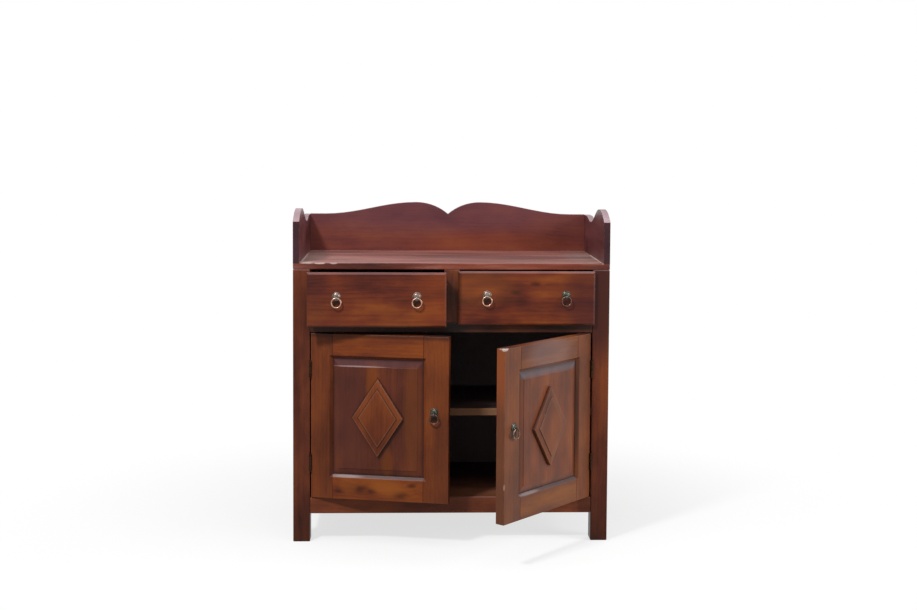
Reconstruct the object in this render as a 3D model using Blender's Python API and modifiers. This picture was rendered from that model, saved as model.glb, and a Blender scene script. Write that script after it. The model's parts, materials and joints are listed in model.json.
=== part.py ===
"""Hardwood sideboard: two lipped drawers over two framed doors, under a scalloped gallery.

The front faces -Y and the posts stand on Z = 0. The sideboard is drawn as it is used: the right
door open, the left door ajar and the left drawer pulled out a little. Each door hangs on an empty
on its hinge axis, each drawer on an empty on its slide, and each ring on the axis of its eye.
"""
import math

import bmesh
import bpy
from mathutils import Matrix, Vector

# Fits, in metres like every size below
FIT = 0.0003
EASE = 0.0012
EASE_SEGMENTS = 2
SHARP_ANGLE = math.radians(40)

# Carcass
WIDTH = 0.900
DEPTH = 0.460
POST = 0.048
LEG = 0.0815
BOTTOM_RAIL_HEIGHT = 0.045
MIDDLE_RAIL_HEIGHT = 0.0275
RAIL_THICKNESS = 0.022
RAIL_SETBACK = 0.001
TENON = 0.012
TENON_SHOULDER = 0.006
SIDE_THICKNESS = 0.022
SIDE_TONGUE = 0.010
BACK_THICKNESS = 0.008
BACK_INSET = 0.020
BACK_TONGUE = 0.010
DADO = 0.008
BOTTOM_THICKNESS = 0.016
BOTTOM_REBATE = 0.010
SHELF_THICKNESS = 0.020
SHELF_SETBACK = 0.056
SHELF_HEIGHT = 0.226
DUST_THICKNESS = 0.012
DIVIDER_WIDTH = 0.044
GUIDE_HEIGHT = 0.020
GUIDE_SIDE_GAP = 0.002
POST_EASE = 0.0025

# Top board and gallery
TOP_THICKNESS = 0.018
TOP_EASE = 0.002
GALLERY_THICKNESS = 0.018
GALLERY_HOUSING = 0.002
SIDE_FRONT_HEIGHT = 0.117
SIDE_HUMP_HEIGHT = 0.149
SIDE_HUMP_REACH = 0.110
SIDE_DIP_HEIGHT = 0.101
SIDE_DIP_FROM_BACK = 0.160
SIDE_END_HEIGHT = 0.114
SIDE_END_RUN = 0.060
BACK_CUSP_HEIGHT = 0.115
BACK_PEAK_HEIGHT = 0.152
BACK_PEAK_REACH = 0.100
BACK_END_HEIGHT = 0.115
BACK_END_RUN = 0.047
CURVE_STEPS = 10

# Drawers
DRAWER_OPENING_HEIGHT = 0.152
DRAWER_TOP_GAP = 0.004
DRAWER_SIDE_GAP = 0.001
LIP_OVERLAP = 0.005
LIP_THICKNESS = 0.013
CORE_THICKNESS = 0.011
FRONT_BEVEL_WIDTH = 0.005
FRONT_BEVEL_DEPTH = 0.003
DRAWER_BACK_CLEARANCE = 0.032
DRAWER_SIDE_THICKNESS = 0.010
DRAWER_SIDE_DROP = 0.014
DRAWER_BACK_THICKNESS = 0.010
DRAWER_BACK_INSET = 0.012
DRAWER_BACK_DROP = 0.008
DRAWER_BOTTOM_THICKNESS = 0.005
DRAWER_BOTTOM_RISE = 0.008
DRAWER_GROOVE = 0.004
TAIL_LENGTH = 0.009
TAIL_HEIGHT = 0.024
TAIL_COUNT = 3
TAIL_SLOPE = 1 / 6
LEFT_DRAWER_OUT = 0.044
RIGHT_DRAWER_OUT = 0.0

# Doors
DOOR_HEIGHT = 0.472
DOOR_THICKNESS = 0.027
DOOR_GAP = 0.002
HINGE_GAP = 0.002
MEETING_GAP = 0.0045
HINGE_STILE_WIDTH = 0.0625
FREE_STILE_WIDTH = 0.072
DOOR_RAIL_WIDTH = 0.0695
DOOR_TENON = 0.020
DOOR_TENON_SHOULDER = 0.010
DOOR_TENON_THICKNESS = 0.007
FRAME_CHAMFER = 0.008
PANEL_FRONT = 0.009
PANEL_TONGUE_THICKNESS = 0.006
PANEL_TONGUE = 0.008
PANEL_BEVEL_WIDTH = 0.018
PANEL_BEVEL_RISE = 0.004
PANEL_TOP_DROP = 0.005
PANEL_STEP = 0.001
LOZENGE_SIDE_MARGIN = 0.059
LOZENGE_END_MARGIN = 0.0565
LOZENGE_WALL = 0.008
LOZENGE_BORDER = 0.015
LOZENGE_RISE = 0.0015
LOZENGE_STEP = 0.0015
LEFT_DOOR_OPEN = math.radians(11.7)
RIGHT_DOOR_OPEN = math.radians(48.0)

# Butt hinges
HINGE_INSET = 0.102
LEAF_LENGTH = 0.050
LEAF_WIDTH = 0.018
LEAF_THICKNESS = 0.0014
LEAF_GAP = 0.0004
LEAF_ROOT = 0.0009
KNUCKLE_RADIUS = 0.0032
KNUCKLE_STANDOFF = 0.0008
KNUCKLE_COUNT = 5
KNUCKLE_CLEARANCE = 0.0003
PIN_RADIUS = 0.0015
PIN_CLEARANCE = 0.00015
HINGE_SIDES = 12

# Ring pulls
DRAWER_PULL_INSET = 0.0825
DRAWER_PULL_RISE = 0.010
DOOR_PULL_RISE = 0.0224
DOOR_PULL_INSET = 0.041
ROSETTE_RADIUS = 0.0120
ROSETTE_RIM = 0.0012
DOME_RADIUS = 0.0096
DOME_STEPS = 4
ROSETTE_HEIGHT = 0.0042
ROSETTE_STEPS = 16
EYE_DROP = 0.0042
EYE_PLAY = 0.0009
EYE_WALL = 0.0019
RING_STANDOFF = 0.0033
EYE_WIDTH = 0.0045
EYE_SIDES = 12
NECK_RADIUS = 0.0032
SHANK_RADIUS = 0.0020
SHANK_TIP = 0.006
SHANK_SIDES = 8
RING_RADIUS = 0.0132
RING_WIRE = 0.0020
RING_STEPS = 20
RING_SIDES = 8

# Levels and faces that several pieces share
BOTTOM_RAIL_TOP = LEG + BOTTOM_RAIL_HEIGHT
DOOR_LOW = BOTTOM_RAIL_TOP + DOOR_GAP
DOOR_HIGH = DOOR_LOW + DOOR_HEIGHT
MIDDLE_RAIL_LOW = DOOR_HIGH + DOOR_GAP
MIDDLE_RAIL_TOP = MIDDLE_RAIL_LOW + MIDDLE_RAIL_HEIGHT
TOP_UNDERSIDE = MIDDLE_RAIL_TOP + DRAWER_OPENING_HEIGHT
TOP_LEVEL = TOP_UNDERSIDE + TOP_THICKNESS
SHELF_LOW = BOTTOM_RAIL_TOP + SHELF_HEIGHT
INNER = WIDTH / 2 - POST
RAIL_BACK = RAIL_SETBACK + RAIL_THICKNESS
BACK_FACE = DEPTH - BACK_INSET - BACK_THICKNESS
DRAWER_LENGTH = BACK_FACE - DRAWER_BACK_CLEARANCE
DRAWER_SIDE_HEIGHT = DRAWER_OPENING_HEIGHT - DRAWER_SIDE_DROP
HINGE_PROUD = KNUCKLE_RADIUS + KNUCKLE_STANDOFF
EYE_HOLE = RING_WIRE + EYE_PLAY
EYE_RADIUS = EYE_HOLE + EYE_WALL
EYE_OUT = ROSETTE_HEIGHT + RING_WIRE + RING_STANDOFF

# Turns that stand a flat outline upright: along X facing the front, or along Y
FACING_FRONT = (math.pi / 2, 0, 0)
SIDEWAYS = (math.pi / 2, 0, math.pi / 2)

# Colours, roughness and metallic values
WOOD_ROUGHNESS = 0.42
POST_COLOUR = (0.105, 0.026, 0.016)
RAIL_COLOUR = (0.150, 0.040, 0.020)
TOP_COLOUR = (0.190, 0.062, 0.050)
GALLERY_COLOUR = (0.165, 0.042, 0.030)
DRAWER_COLOUR = (0.180, 0.046, 0.020)
FRAME_COLOUR = (0.190, 0.062, 0.020)
PANEL_COLOUR = (0.110, 0.030, 0.020)
INSIDE_COLOUR = (0.110, 0.045, 0.025)
BRASS_COLOUR = (0.330, 0.250, 0.180)
BRASS_ROUGHNESS = 0.38

for old in list(bpy.data.objects):
    bpy.data.objects.remove(old, do_unlink=True)


def new_collection(name):
    group = bpy.data.collections.new(name)
    bpy.context.scene.collection.children.link(group)
    return group


PARTS = new_collection("sideboard")
CUTTERS = new_collection("sideboard_cutters")


def new_empty(name, location, parent=None, turn=0.0):
    """An axis or slide that pieces hang on, turned about Z."""
    empty = bpy.data.objects.new(name, None)
    PARTS.objects.link(empty)
    empty.parent = parent
    empty.location = location
    empty.rotation_euler.z = turn
    return empty


def add_piece(name, mesh, parent, location=(0, 0, 0), colour=None, metallic=0.0):
    """A node with its own material, or a hidden wire cutter when it has no colour."""
    piece = bpy.data.objects.new(name, mesh)
    piece.parent = parent
    piece.location = location
    if colour is None:
        CUTTERS.objects.link(piece)
        piece.hide_render = True
        piece.display_type = "WIRE"
        return piece
    PARTS.objects.link(piece)
    finish = bpy.data.materials.new(name + "_finish")
    finish.use_nodes = True
    shader = finish.node_tree.nodes["Principled BSDF"]
    shader.inputs["Base Color"].default_value = (*colour, 1.0)
    shader.inputs["Roughness"].default_value = BRASS_ROUGHNESS if metallic else WOOD_ROUGHNESS
    shader.inputs["Metallic"].default_value = metallic
    piece.data.materials.append(finish)
    return piece


def add_tool(name, shape, parent, location):
    """A shape that is cut out of a piece, or joined to it."""
    return add_piece(name, mesh_from(name, shape), parent, location)


def mesh_from(name, shape):
    mesh = bpy.data.meshes.new(name)
    shape.to_mesh(mesh)
    shape.free()
    return mesh


def box_shape(size):
    shape = bmesh.new()
    bmesh.ops.create_cube(shape, size=1.0, matrix=Matrix.Diagonal((*size, 1.0)))
    return shape


def corners(first, second):
    """The lowest and highest corner of the box between two points."""
    low = Vector([min(a, b) for a, b in zip(first, second)])
    high = Vector([max(a, b) for a, b in zip(first, second)])
    return low, high


def board(name, first, second, parent, colour=None, ease=EASE):
    """A square board between two corners, its arrises eased."""
    low, high = corners(first, second)
    piece = add_piece(name, mesh_from(name, box_shape(high - low)), parent, (low + high) / 2, colour)
    if colour is not None and ease:
        ease_edges(piece, ease)
    return piece


def ease_edges(piece, width):
    bevel = piece.modifiers.new("eased_edges", "BEVEL")
    bevel.width = width
    bevel.segments = EASE_SEGMENTS
    bevel.limit_method = "ANGLE"
    bevel.angle_limit = SHARP_ANGLE


def combine(piece, tool, operation="DIFFERENCE"):
    change = piece.modifiers.new(tool.name, "BOOLEAN")
    change.operation = operation
    change.object = tool
    change.solver = "EXACT"


def house(receivers, name, first, second, parent, gap=FIT):
    """Cut the housing of a tongue, tenon or board, with its gap, into the pieces that hold it."""
    low, high = corners(first, second)
    margin = Vector((gap, gap, gap))
    cutter = board("cut_" + name, low - margin, high + margin, parent)
    for receiver in receivers:
        combine(receiver, cutter)


def face_towards(shape, direction):
    """The face of a shape that points furthest along a direction."""
    return max(shape.faces, key=lambda face: face.normal.dot(Vector(direction)))


def raise_field(shape, face, width, rise):
    """Inset a face by a width and lift it, which leaves a sloping border."""
    bmesh.ops.inset_region(shape, faces=[face], thickness=width, depth=rise, use_even_offset=True)


def outline_board(name, points, thickness, parent, location, turn, colour=None, ease=0.0):
    """A board sawn to an outline in its own X and Y and turned upright, or a cutter of that shape."""
    curve = bpy.data.curves.new(name, "CURVE")
    curve.dimensions = "2D"
    curve.fill_mode = "BOTH"
    curve.extrude = thickness / 2
    spline = curve.splines.new("POLY")
    spline.points.add(len(points) - 1)
    for point, (across, up) in zip(spline.points, points):
        point.co = (across, up, 0.0, 1.0)
    spline.use_cyclic_u = True
    sketch = bpy.data.objects.new(name + "_sketch", curve)
    CUTTERS.objects.link(sketch)
    graph = bpy.context.evaluated_depsgraph_get()
    mesh = bpy.data.meshes.new_from_object(sketch.evaluated_get(graph))
    bpy.data.objects.remove(sketch, do_unlink=True)
    shape = bmesh.new()
    shape.from_mesh(mesh)
    bmesh.ops.remove_doubles(shape, verts=shape.verts, dist=FIT / 10)
    shape.to_mesh(mesh)
    shape.free()
    mesh.name = name
    mesh.materials.clear()
    piece = add_piece(name, mesh, parent, location, colour)
    piece.rotation_euler = turn
    if ease:
        ease_edges(piece, ease)
    return piece


def crown(start, start_height, top, top_height):
    """Points of a circular arc from its foot up to its level top, foot first."""
    run = top - start
    rise = top_height - start_height
    radius = (run * run + rise * rise) / (2 * rise)
    points = []
    for step in range(CURVE_STEPS + 1):
        across = start + run * step / CURVE_STEPS
        drop = radius - math.sqrt(radius * radius - (across - top) ** 2)
        points.append((across, top_height - drop))
    return points


def ogee(start, start_height, end, end_height):
    """Points of an S curve that is level at both ends, without its first point."""
    points = []
    for step in range(1, CURVE_STEPS + 1):
        share = step / CURVE_STEPS
        eased = (1 - math.cos(math.pi * share)) / 2
        points.append((start + (end - start) * share, start_height + (end_height - start_height) * eased))
    return points


def cylinder_shape(radius, length, sides, centre=(0, 0, 0), axis="Z", shape=None):
    """A capped cylinder about a centre, added to a shape or in a new one."""
    shape = shape or bmesh.new()
    turn = {"X": Matrix.Rotation(math.pi / 2, 4, "Y"), "Y": Matrix.Rotation(math.pi / 2, 4, "X")}
    place = Matrix.Translation(centre) @ turn.get(axis, Matrix.Identity(4))
    bmesh.ops.create_cone(shape, cap_ends=True, segments=sides, radius1=radius, radius2=radius,
                          depth=length, matrix=place)
    return shape


def shade_round(piece):
    piece.data.shade_smooth()
    piece.data.set_sharp_from_angle(angle=SHARP_ANGLE)


sideboard = new_empty("sideboard_origin", (0, 0, 0))


# Posts, side panels and back panel
def make_posts():
    posts = {}
    for end, near, far in (("front", 0.0, POST), ("back", DEPTH - POST, DEPTH)):
        for side, sign in (("left", -1), ("right", 1)):
            posts[end, side] = board(f"{end}_{side}_post", (sign * INNER, near, 0),
                                     (sign * WIDTH / 2, far, TOP_UNDERSIDE - FIT), sideboard,
                                     POST_COLOUR, POST_EASE)
    return posts


def make_side_panel(side, sign, posts):
    low = (sign * INNER, POST - SIDE_TONGUE, LEG)
    high = (sign * (INNER + SIDE_THICKNESS), DEPTH - POST + SIDE_TONGUE, TOP_UNDERSIDE - FIT)
    house([posts["front", side], posts["back", side]], side + "_side_panel", low, high, sideboard)
    return board(side + "_side_panel", low, high, sideboard, POST_COLOUR)


def make_back_panel(posts):
    reach = INNER + BACK_TONGUE
    low = (-reach, BACK_FACE, LEG)
    high = (reach, BACK_FACE + BACK_THICKNESS, TOP_UNDERSIDE - FIT)
    house([posts["back", "left"], posts["back", "right"]], "back_panel", low, high, sideboard)
    board("back_panel", low, high, sideboard, INSIDE_COLOUR)


# Front rails, divider and the boards inside
def make_rail(name, low, height, posts):
    """A front rail with a stub tenon at each end."""
    rail = board(name, (-INNER + FIT, RAIL_SETBACK, low), (INNER - FIT, RAIL_BACK, low + height),
                 sideboard, RAIL_COLOUR)
    tenon_low = (-INNER - TENON, RAIL_SETBACK + TENON_SHOULDER, low + TENON_SHOULDER)
    tenon_high = (INNER + TENON, RAIL_BACK - TENON_SHOULDER, low + height - TENON_SHOULDER)
    combine(rail, board("tenon_" + name, tenon_low, tenon_high, sideboard), "UNION")
    house([posts["front", "left"], posts["front", "right"]], name, tenon_low, tenon_high, sideboard)
    return rail


def make_divider(middle_rail):
    half = DIVIDER_WIDTH / 2
    divider = board("drawer_divider", (-half, RAIL_SETBACK, MIDDLE_RAIL_TOP + FIT),
                    (half, RAIL_BACK, TOP_UNDERSIDE - FIT), sideboard, RAIL_COLOUR)
    tenon_low = (TENON_SHOULDER - half, RAIL_SETBACK + TENON_SHOULDER, MIDDLE_RAIL_TOP - TENON)
    tenon_high = (half - TENON_SHOULDER, RAIL_BACK - TENON_SHOULDER, MIDDLE_RAIL_TOP + TENON)
    combine(divider, board("tenon_divider", tenon_low, tenon_high, sideboard), "UNION")
    house([middle_rail], "divider", tenon_low, tenon_high, sideboard)


def make_inner_boards(posts, panels, bottom_rail):
    """Bottom board, shelf and dust board, housed in the side panels and posts."""
    reach = INNER + DADO
    back = BACK_FACE - FIT
    fronts = [posts["front", "left"], posts["front", "right"]]
    backs = [posts["back", "left"], posts["back", "right"]]
    bottom_low = BOTTOM_RAIL_TOP - BOTTOM_THICKNESS
    low = (-reach, RAIL_BACK - BOTTOM_REBATE, bottom_low)
    high = (reach, back, BOTTOM_RAIL_TOP - FIT)
    house(panels + fronts + backs, "bottom_board", low, high, sideboard)
    house([bottom_rail], "bottom_board_rebate", low, (reach, back, BOTTOM_RAIL_TOP + DOOR_GAP), sideboard)
    board("bottom_board", low, high, sideboard, INSIDE_COLOUR)
    low = (-reach, SHELF_SETBACK, SHELF_LOW)
    high = (reach, back, SHELF_LOW + SHELF_THICKNESS)
    house(panels + fronts + backs, "shelf", low, high, sideboard)
    board("shelf", low, high, sideboard, INSIDE_COLOUR)
    low = (-reach, RAIL_BACK + FIT, MIDDLE_RAIL_TOP - DUST_THICKNESS)
    high = (reach, back, MIDDLE_RAIL_TOP)
    house(panels + fronts + backs, "drawer_dust_board", low, high, sideboard)
    board("drawer_dust_board", low, high, sideboard, INSIDE_COLOUR)
    half = DIVIDER_WIDTH / 2 - GUIDE_SIDE_GAP
    low = (-half, RAIL_BACK + FIT, MIDDLE_RAIL_TOP + FIT)
    board("drawer_centre_guide", low, (half, back, low[2] + GUIDE_HEIGHT), sideboard, INSIDE_COLOUR)


# Top board and the gallery that stands on it
def make_top():
    """The top board, rebated round three edges for the gallery."""
    top = board("top_board", (-WIDTH / 2, 0, TOP_UNDERSIDE), (WIDTH / 2, DEPTH, TOP_LEVEL), sideboard,
                TOP_COLOUR, TOP_EASE)
    seat = TOP_LEVEL - GALLERY_HOUSING
    above = TOP_LEVEL + GALLERY_HOUSING
    inner = WIDTH / 2 - GALLERY_THICKNESS
    behind = DEPTH - GALLERY_THICKNESS
    house([top], "gallery_left", (-WIDTH / 2, 0, seat), (-inner, DEPTH, above), sideboard)
    house([top], "gallery_right", (inner, 0, seat), (WIDTH / 2, DEPTH, above), sideboard)
    house([top], "gallery_back", (-inner, behind, seat), (inner, DEPTH, above), sideboard)


def make_gallery():
    """Two side boards and the back board between them; heights are above the top board."""
    dip = DEPTH - SIDE_DIP_FROM_BACK
    rise = crown(0, SIDE_FRONT_HEIGHT, SIDE_HUMP_REACH, SIDE_HUMP_HEIGHT)
    fall = ogee(SIDE_HUMP_REACH, SIDE_HUMP_HEIGHT, dip, SIDE_DIP_HEIGHT)
    tail = ogee(dip, SIDE_DIP_HEIGHT, DEPTH - SIDE_END_RUN, SIDE_END_HEIGHT)
    foot = -GALLERY_HOUSING
    side = [(0, foot)] + rise + fall + tail + [(DEPTH, SIDE_END_HEIGHT), (DEPTH, foot)]
    middle = WIDTH / 2 - GALLERY_THICKNESS / 2
    for name, sign in (("left", -1), ("right", 1)):
        outline_board(f"gallery_{name}_side", side, GALLERY_THICKNESS, sideboard,
                      (sign * middle, 0, TOP_LEVEL), SIDEWAYS, GALLERY_COLOUR, EASE)
    half = WIDTH / 2 - GALLERY_THICKNESS - FIT
    hump = crown(0, BACK_CUSP_HEIGHT, BACK_PEAK_REACH, BACK_PEAK_HEIGHT)
    shoulder = ogee(BACK_PEAK_REACH, BACK_PEAK_HEIGHT, half - BACK_END_RUN, BACK_END_HEIGHT)
    right_half = hump + shoulder + [(half, BACK_END_HEIGHT), (half, foot)]
    left_half = [(-across, up) for across, up in reversed(right_half[1:])]
    outline_board("gallery_back", left_half + right_half, GALLERY_THICKNESS, sideboard,
                  (0, DEPTH - GALLERY_THICKNESS / 2, TOP_LEVEL), FACING_FRONT, GALLERY_COLOUR, EASE)


# Ring pulls
def make_pull(name, carrier, spot, holder, thickness):
    """A turned rosette with an eye and a shank through its holder, and the ring that hangs in the eye."""
    profile = bmesh.new()
    dome = []
    for step in range(DOME_STEPS + 1):
        turn = math.pi / 2 * (1 - step / DOME_STEPS)
        rise = (ROSETTE_HEIGHT - ROSETTE_RIM) * math.sin(turn)
        dome.append((DOME_RADIUS * math.cos(turn), ROSETTE_RIM + rise))
    edge = [(ROSETTE_RADIUS, ROSETTE_RIM), (ROSETTE_RADIUS, 0.0), (0.0, 0.0)]
    points = [profile.verts.new((across, 0.0, up)) for across, up in dome + edge]
    for first, second in zip(points, points[1:]):
        profile.edges.new((first, second))
    rosette = add_piece(name + "_rosette", mesh_from(name + "_rosette", profile), carrier,
                        Vector(spot) - Vector((0, FIT, 0)), BRASS_COLOUR, 1.0)
    rosette.rotation_euler.x = math.pi / 2
    turned = rosette.modifiers.new("turned", "SCREW")
    turned.steps = ROSETTE_STEPS
    turned.render_steps = ROSETTE_STEPS
    turned.use_merge_vertices = True
    turned.merge_threshold = FIT / 10
    eye_place = Vector(spot) - Vector((0, EYE_OUT, EYE_DROP))
    neck_tip = EYE_OUT - EYE_HOLE
    neck_root = ROSETTE_RIM / 2
    neck_place = Vector(spot) - Vector((0, (neck_tip + neck_root) / 2, EYE_DROP))
    neck = cylinder_shape(NECK_RADIUS, neck_tip - neck_root, EYE_SIDES, axis="Y")
    combine(rosette, add_tool("neck_" + name, neck, carrier, neck_place), "UNION")
    eye = cylinder_shape(EYE_RADIUS, EYE_WIDTH, EYE_SIDES, axis="X")
    combine(rosette, add_tool("eye_" + name, eye, carrier, eye_place), "UNION")
    hole = cylinder_shape(EYE_HOLE, EYE_WIDTH * 2, EYE_SIDES, axis="X")
    combine(rosette, add_tool("hole_" + name, hole, carrier, eye_place))
    through = thickness + SHANK_TIP
    shank_place = Vector(spot) + Vector((0, through / 2 - ROSETTE_RIM, 0))
    shank = cylinder_shape(SHANK_RADIUS, through, SHANK_SIDES, axis="Y")
    combine(rosette, add_tool("shank_" + name, shank, carrier, shank_place), "UNION")
    drill = cylinder_shape(SHANK_RADIUS + FIT, through * 2, SHANK_SIDES, axis="Y")
    combine(holder, add_tool("drill_" + name, drill, carrier, shank_place))
    bpy.ops.mesh.primitive_torus_add(major_radius=RING_RADIUS, minor_radius=RING_WIRE,
                                     major_segments=RING_STEPS, minor_segments=RING_SIDES)
    torus = bpy.context.object
    mesh = torus.data
    bpy.data.objects.remove(torus, do_unlink=True)
    mesh.transform(Matrix.Translation((0, 0, -RING_RADIUS)) @ Matrix.Rotation(math.pi / 2, 4, "X"))
    mesh.materials.clear()
    ring = add_piece(name + "_ring", mesh, carrier, eye_place, BRASS_COLOUR, 1.0)
    shade_round(ring)


# Drawers
def tail_outline(tip, root, middle, grow=0.0):
    """A dovetail in side view, as depth and height, from its upper root round its tip to its lower root."""
    half = TAIL_HEIGHT / 2 + grow
    neck = half - (root - tip) * TAIL_SLOPE
    return [(root, middle + neck), (tip, middle + half), (tip, middle - half), (root, middle - neck)]


def make_drawer_side(name, sign, slide, front, half):
    """A drawer side with its tails, joined to the front by lapped dovetails."""
    foot = MIDDLE_RAIL_TOP + FIT
    near = CORE_THICKNESS + FIT
    tip = CORE_THICKNESS - TAIL_LENGTH
    lowest = DRAWER_BOTTOM_RISE + DRAWER_BOTTOM_THICKNESS + DRAWER_GROOVE
    pitch = (DRAWER_SIDE_HEIGHT - lowest) / TAIL_COUNT
    place = (sign * (half - DRAWER_SIDE_THICKNESS / 2), 0, foot)
    outline = [(near, 0), (DRAWER_LENGTH, 0), (DRAWER_LENGTH, DRAWER_SIDE_HEIGHT),
               (near, DRAWER_SIDE_HEIGHT)]
    for count in reversed(range(TAIL_COUNT)):
        middle = lowest + pitch * (count + 0.5)
        outline += tail_outline(tip, near, middle)
        socket = tail_outline(tip - FIT, near + FIT, middle, FIT)
        thickness = DRAWER_SIDE_THICKNESS + 2 * FIT
        combine(front, outline_board(f"socket_{name}_{count}", socket, thickness, slide, place, SIDEWAYS))
    return outline_board(name, outline, DRAWER_SIDE_THICKNESS, slide, place, SIDEWAYS, INSIDE_COLOUR)


def make_drawer(side, sign, out):
    middle = sign * (DIVIDER_WIDTH / 2 + INNER) / 2
    opening = INNER - DIVIDER_WIDTH / 2
    slide = new_empty(side + "_drawer_slide", (middle, -out, 0), sideboard)
    name = side + "_drawer_"
    low = MIDDLE_RAIL_TOP - LIP_OVERLAP
    high = TOP_UNDERSIDE - DRAWER_TOP_GAP
    half = opening / 2 - DRAWER_SIDE_GAP
    centre = (low + high) / 2
    reach = opening / 2 + LIP_OVERLAP
    flat = LIP_THICKNESS - FRONT_BEVEL_DEPTH - FIT
    plate = box_shape((2 * reach, flat, high - low))
    raise_field(plate, face_towards(plate, (0, -1, 0)), FRONT_BEVEL_WIDTH, FRONT_BEVEL_DEPTH)
    plate_middle = -FIT - flat / 2
    front = add_piece(name + "front", mesh_from(name + "front", plate), slide,
                      (0, plate_middle, centre), DRAWER_COLOUR)
    foot = MIDDLE_RAIL_TOP + FIT
    core = board("core_" + name, (-half, plate_middle, foot),
                 (half, CORE_THICKNESS, high - LIP_OVERLAP), slide)
    combine(front, core, "UNION")
    sides = []
    for hand, way in (("left", -1), ("right", 1)):
        sides.append(make_drawer_side(name + hand + "_side", way, slide, front, half))
    clear = half - DRAWER_SIDE_THICKNESS
    back_near = DRAWER_LENGTH - DRAWER_BACK_INSET - DRAWER_BACK_THICKNESS
    bottom_low = foot + DRAWER_BOTTOM_RISE
    bottom_top = bottom_low + DRAWER_BOTTOM_THICKNESS
    side_top = foot + DRAWER_SIDE_HEIGHT
    low = (-clear - DRAWER_GROOVE, back_near, bottom_top + FIT)
    high = (clear + DRAWER_GROOVE, back_near + DRAWER_BACK_THICKNESS, side_top - DRAWER_BACK_DROP)
    house(sides, name + "back", low, (high[0], high[1], side_top + DRAWER_BACK_DROP), slide)
    board(name + "back", low, high, slide, INSIDE_COLOUR, EASE / 2)
    low = (-clear - DRAWER_GROOVE, CORE_THICKNESS - DRAWER_GROOVE, bottom_low)
    high = (clear + DRAWER_GROOVE, DRAWER_LENGTH - DRAWER_BACK_INSET, bottom_top)
    house(sides, name + "bottom", low, (high[0], DRAWER_LENGTH + DRAWER_BACK_INSET, high[2]), slide)
    house([front], name + "bottom_groove", low, (high[0], CORE_THICKNESS + FIT, high[2]), slide)
    board(name + "bottom", low, high, slide, INSIDE_COLOUR, 0)
    for hand, way in (("left", -1), ("right", 1)):
        spot = (way * (reach - DRAWER_PULL_INSET), -LIP_THICKNESS, centre + DRAWER_PULL_RISE)
        make_pull(name + hand + "_pull", slide, spot, front, LIP_THICKNESS + CORE_THICKNESS)


# Doors and their hinges
def make_frame_pieces(side, sign, hinge, near, far):
    """Two stiles and two tenoned rails; the rails' tenons are housed in the stiles."""
    name = side + "_door_"
    front = HINGE_PROUD
    back = front + DOOR_THICKNESS
    hinge_inner = near + HINGE_STILE_WIDTH
    free_inner = far - FREE_STILE_WIDTH
    stiles = {"hinge": board(name + "hinge_stile", (-sign * near, front, DOOR_LOW),
                             (-sign * hinge_inner, back, DOOR_HIGH), hinge, FRAME_COLOUR),
              "free": board(name + "free_stile", (-sign * free_inner, front, DOOR_LOW),
                            (-sign * far, back, DOOR_HIGH), hinge, FRAME_COLOUR)}
    tenon_front = front + (DOOR_THICKNESS - DOOR_TENON_THICKNESS) / 2
    tenon_back = tenon_front + DOOR_TENON_THICKNESS
    rails = []
    for place, low in (("top", DOOR_HIGH - DOOR_RAIL_WIDTH), ("bottom", DOOR_LOW)):
        rail = board(name + place + "_rail", (-sign * (hinge_inner + FIT), front, low),
                     (-sign * (free_inner - FIT), back, low + DOOR_RAIL_WIDTH), hinge, FRAME_COLOUR)
        tenon_low = (-sign * (hinge_inner - DOOR_TENON), tenon_front, low + DOOR_TENON_SHOULDER)
        tenon_high = (-sign * (free_inner + DOOR_TENON), tenon_back,
                      low + DOOR_RAIL_WIDTH - DOOR_TENON_SHOULDER)
        combine(rail, board("tenon_" + name + place, tenon_low, tenon_high, hinge), "UNION")
        house(stiles.values(), name + place + "_rail", tenon_low, tenon_high, hinge)
        rails.append(rail)
    return stiles, rails


def cut_frame_chamfer(name, pieces, hinge, low, high):
    """Chamfer the inner front arris of the frame with one tapered cutter, mitred at the corners."""
    past = EASE
    depth = FRAME_CHAMFER + 2 * past
    width = high.x - low.x - 2 * past
    height = high.z - low.z - 2 * past
    shape = box_shape((width, depth, height))
    for vert in shape.verts:
        if vert.co.y < 0:
            vert.co.x += math.copysign(depth, vert.co.x)
            vert.co.z += math.copysign(depth, vert.co.z)
    place = ((low.x + high.x) / 2, HINGE_PROUD + FRAME_CHAMFER / 2, (low.z + high.z) / 2)
    cutter = add_tool("chamfer_" + name, shape, hinge, place)
    for piece in pieces:
        combine(piece, cutter)


def make_panel(name, pieces, hinge, low, high):
    """A raised and fielded panel with a wider bevel at its top, its tongue loose in the frame's groove."""
    tongue = Vector((PANEL_TONGUE, 0, PANEL_TONGUE))
    groove_low = low - tongue
    groove_high = high + tongue
    groove_low.y = HINGE_PROUD + PANEL_FRONT
    groove_high.y = groove_low.y + PANEL_TONGUE_THICKNESS
    house(pieces, name + "panel", groove_low, groove_high, hinge)
    shape = box_shape(groove_high - groove_low)
    front = (0, -1, 0)
    raise_field(shape, face_towards(shape, front), PANEL_TONGUE + FIT, 0.0)
    raise_field(shape, face_towards_middle(shape, front), PANEL_BEVEL_WIDTH, PANEL_BEVEL_RISE)
    for vert in face_towards_middle(shape, front).verts:
        if vert.co.z > 0:
            vert.co.z -= PANEL_TOP_DROP
    raise_field(shape, face_towards_middle(shape, front), FIT, PANEL_STEP)
    add_piece(name + "panel", mesh_from(name + "panel", shape), hinge, (groove_low + groove_high) / 2,
              PANEL_COLOUR)
    return groove_low.y - PANEL_BEVEL_RISE - PANEL_STEP


def face_towards_middle(shape, direction):
    """Of the faces that point along a direction, the one in the middle of the board."""
    ahead = [face for face in shape.faces if face.normal.dot(Vector(direction)) > 0]
    return min(ahead, key=lambda face: Vector((face.calc_center_median().x, 0,
                                               face.calc_center_median().z)).length)


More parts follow.
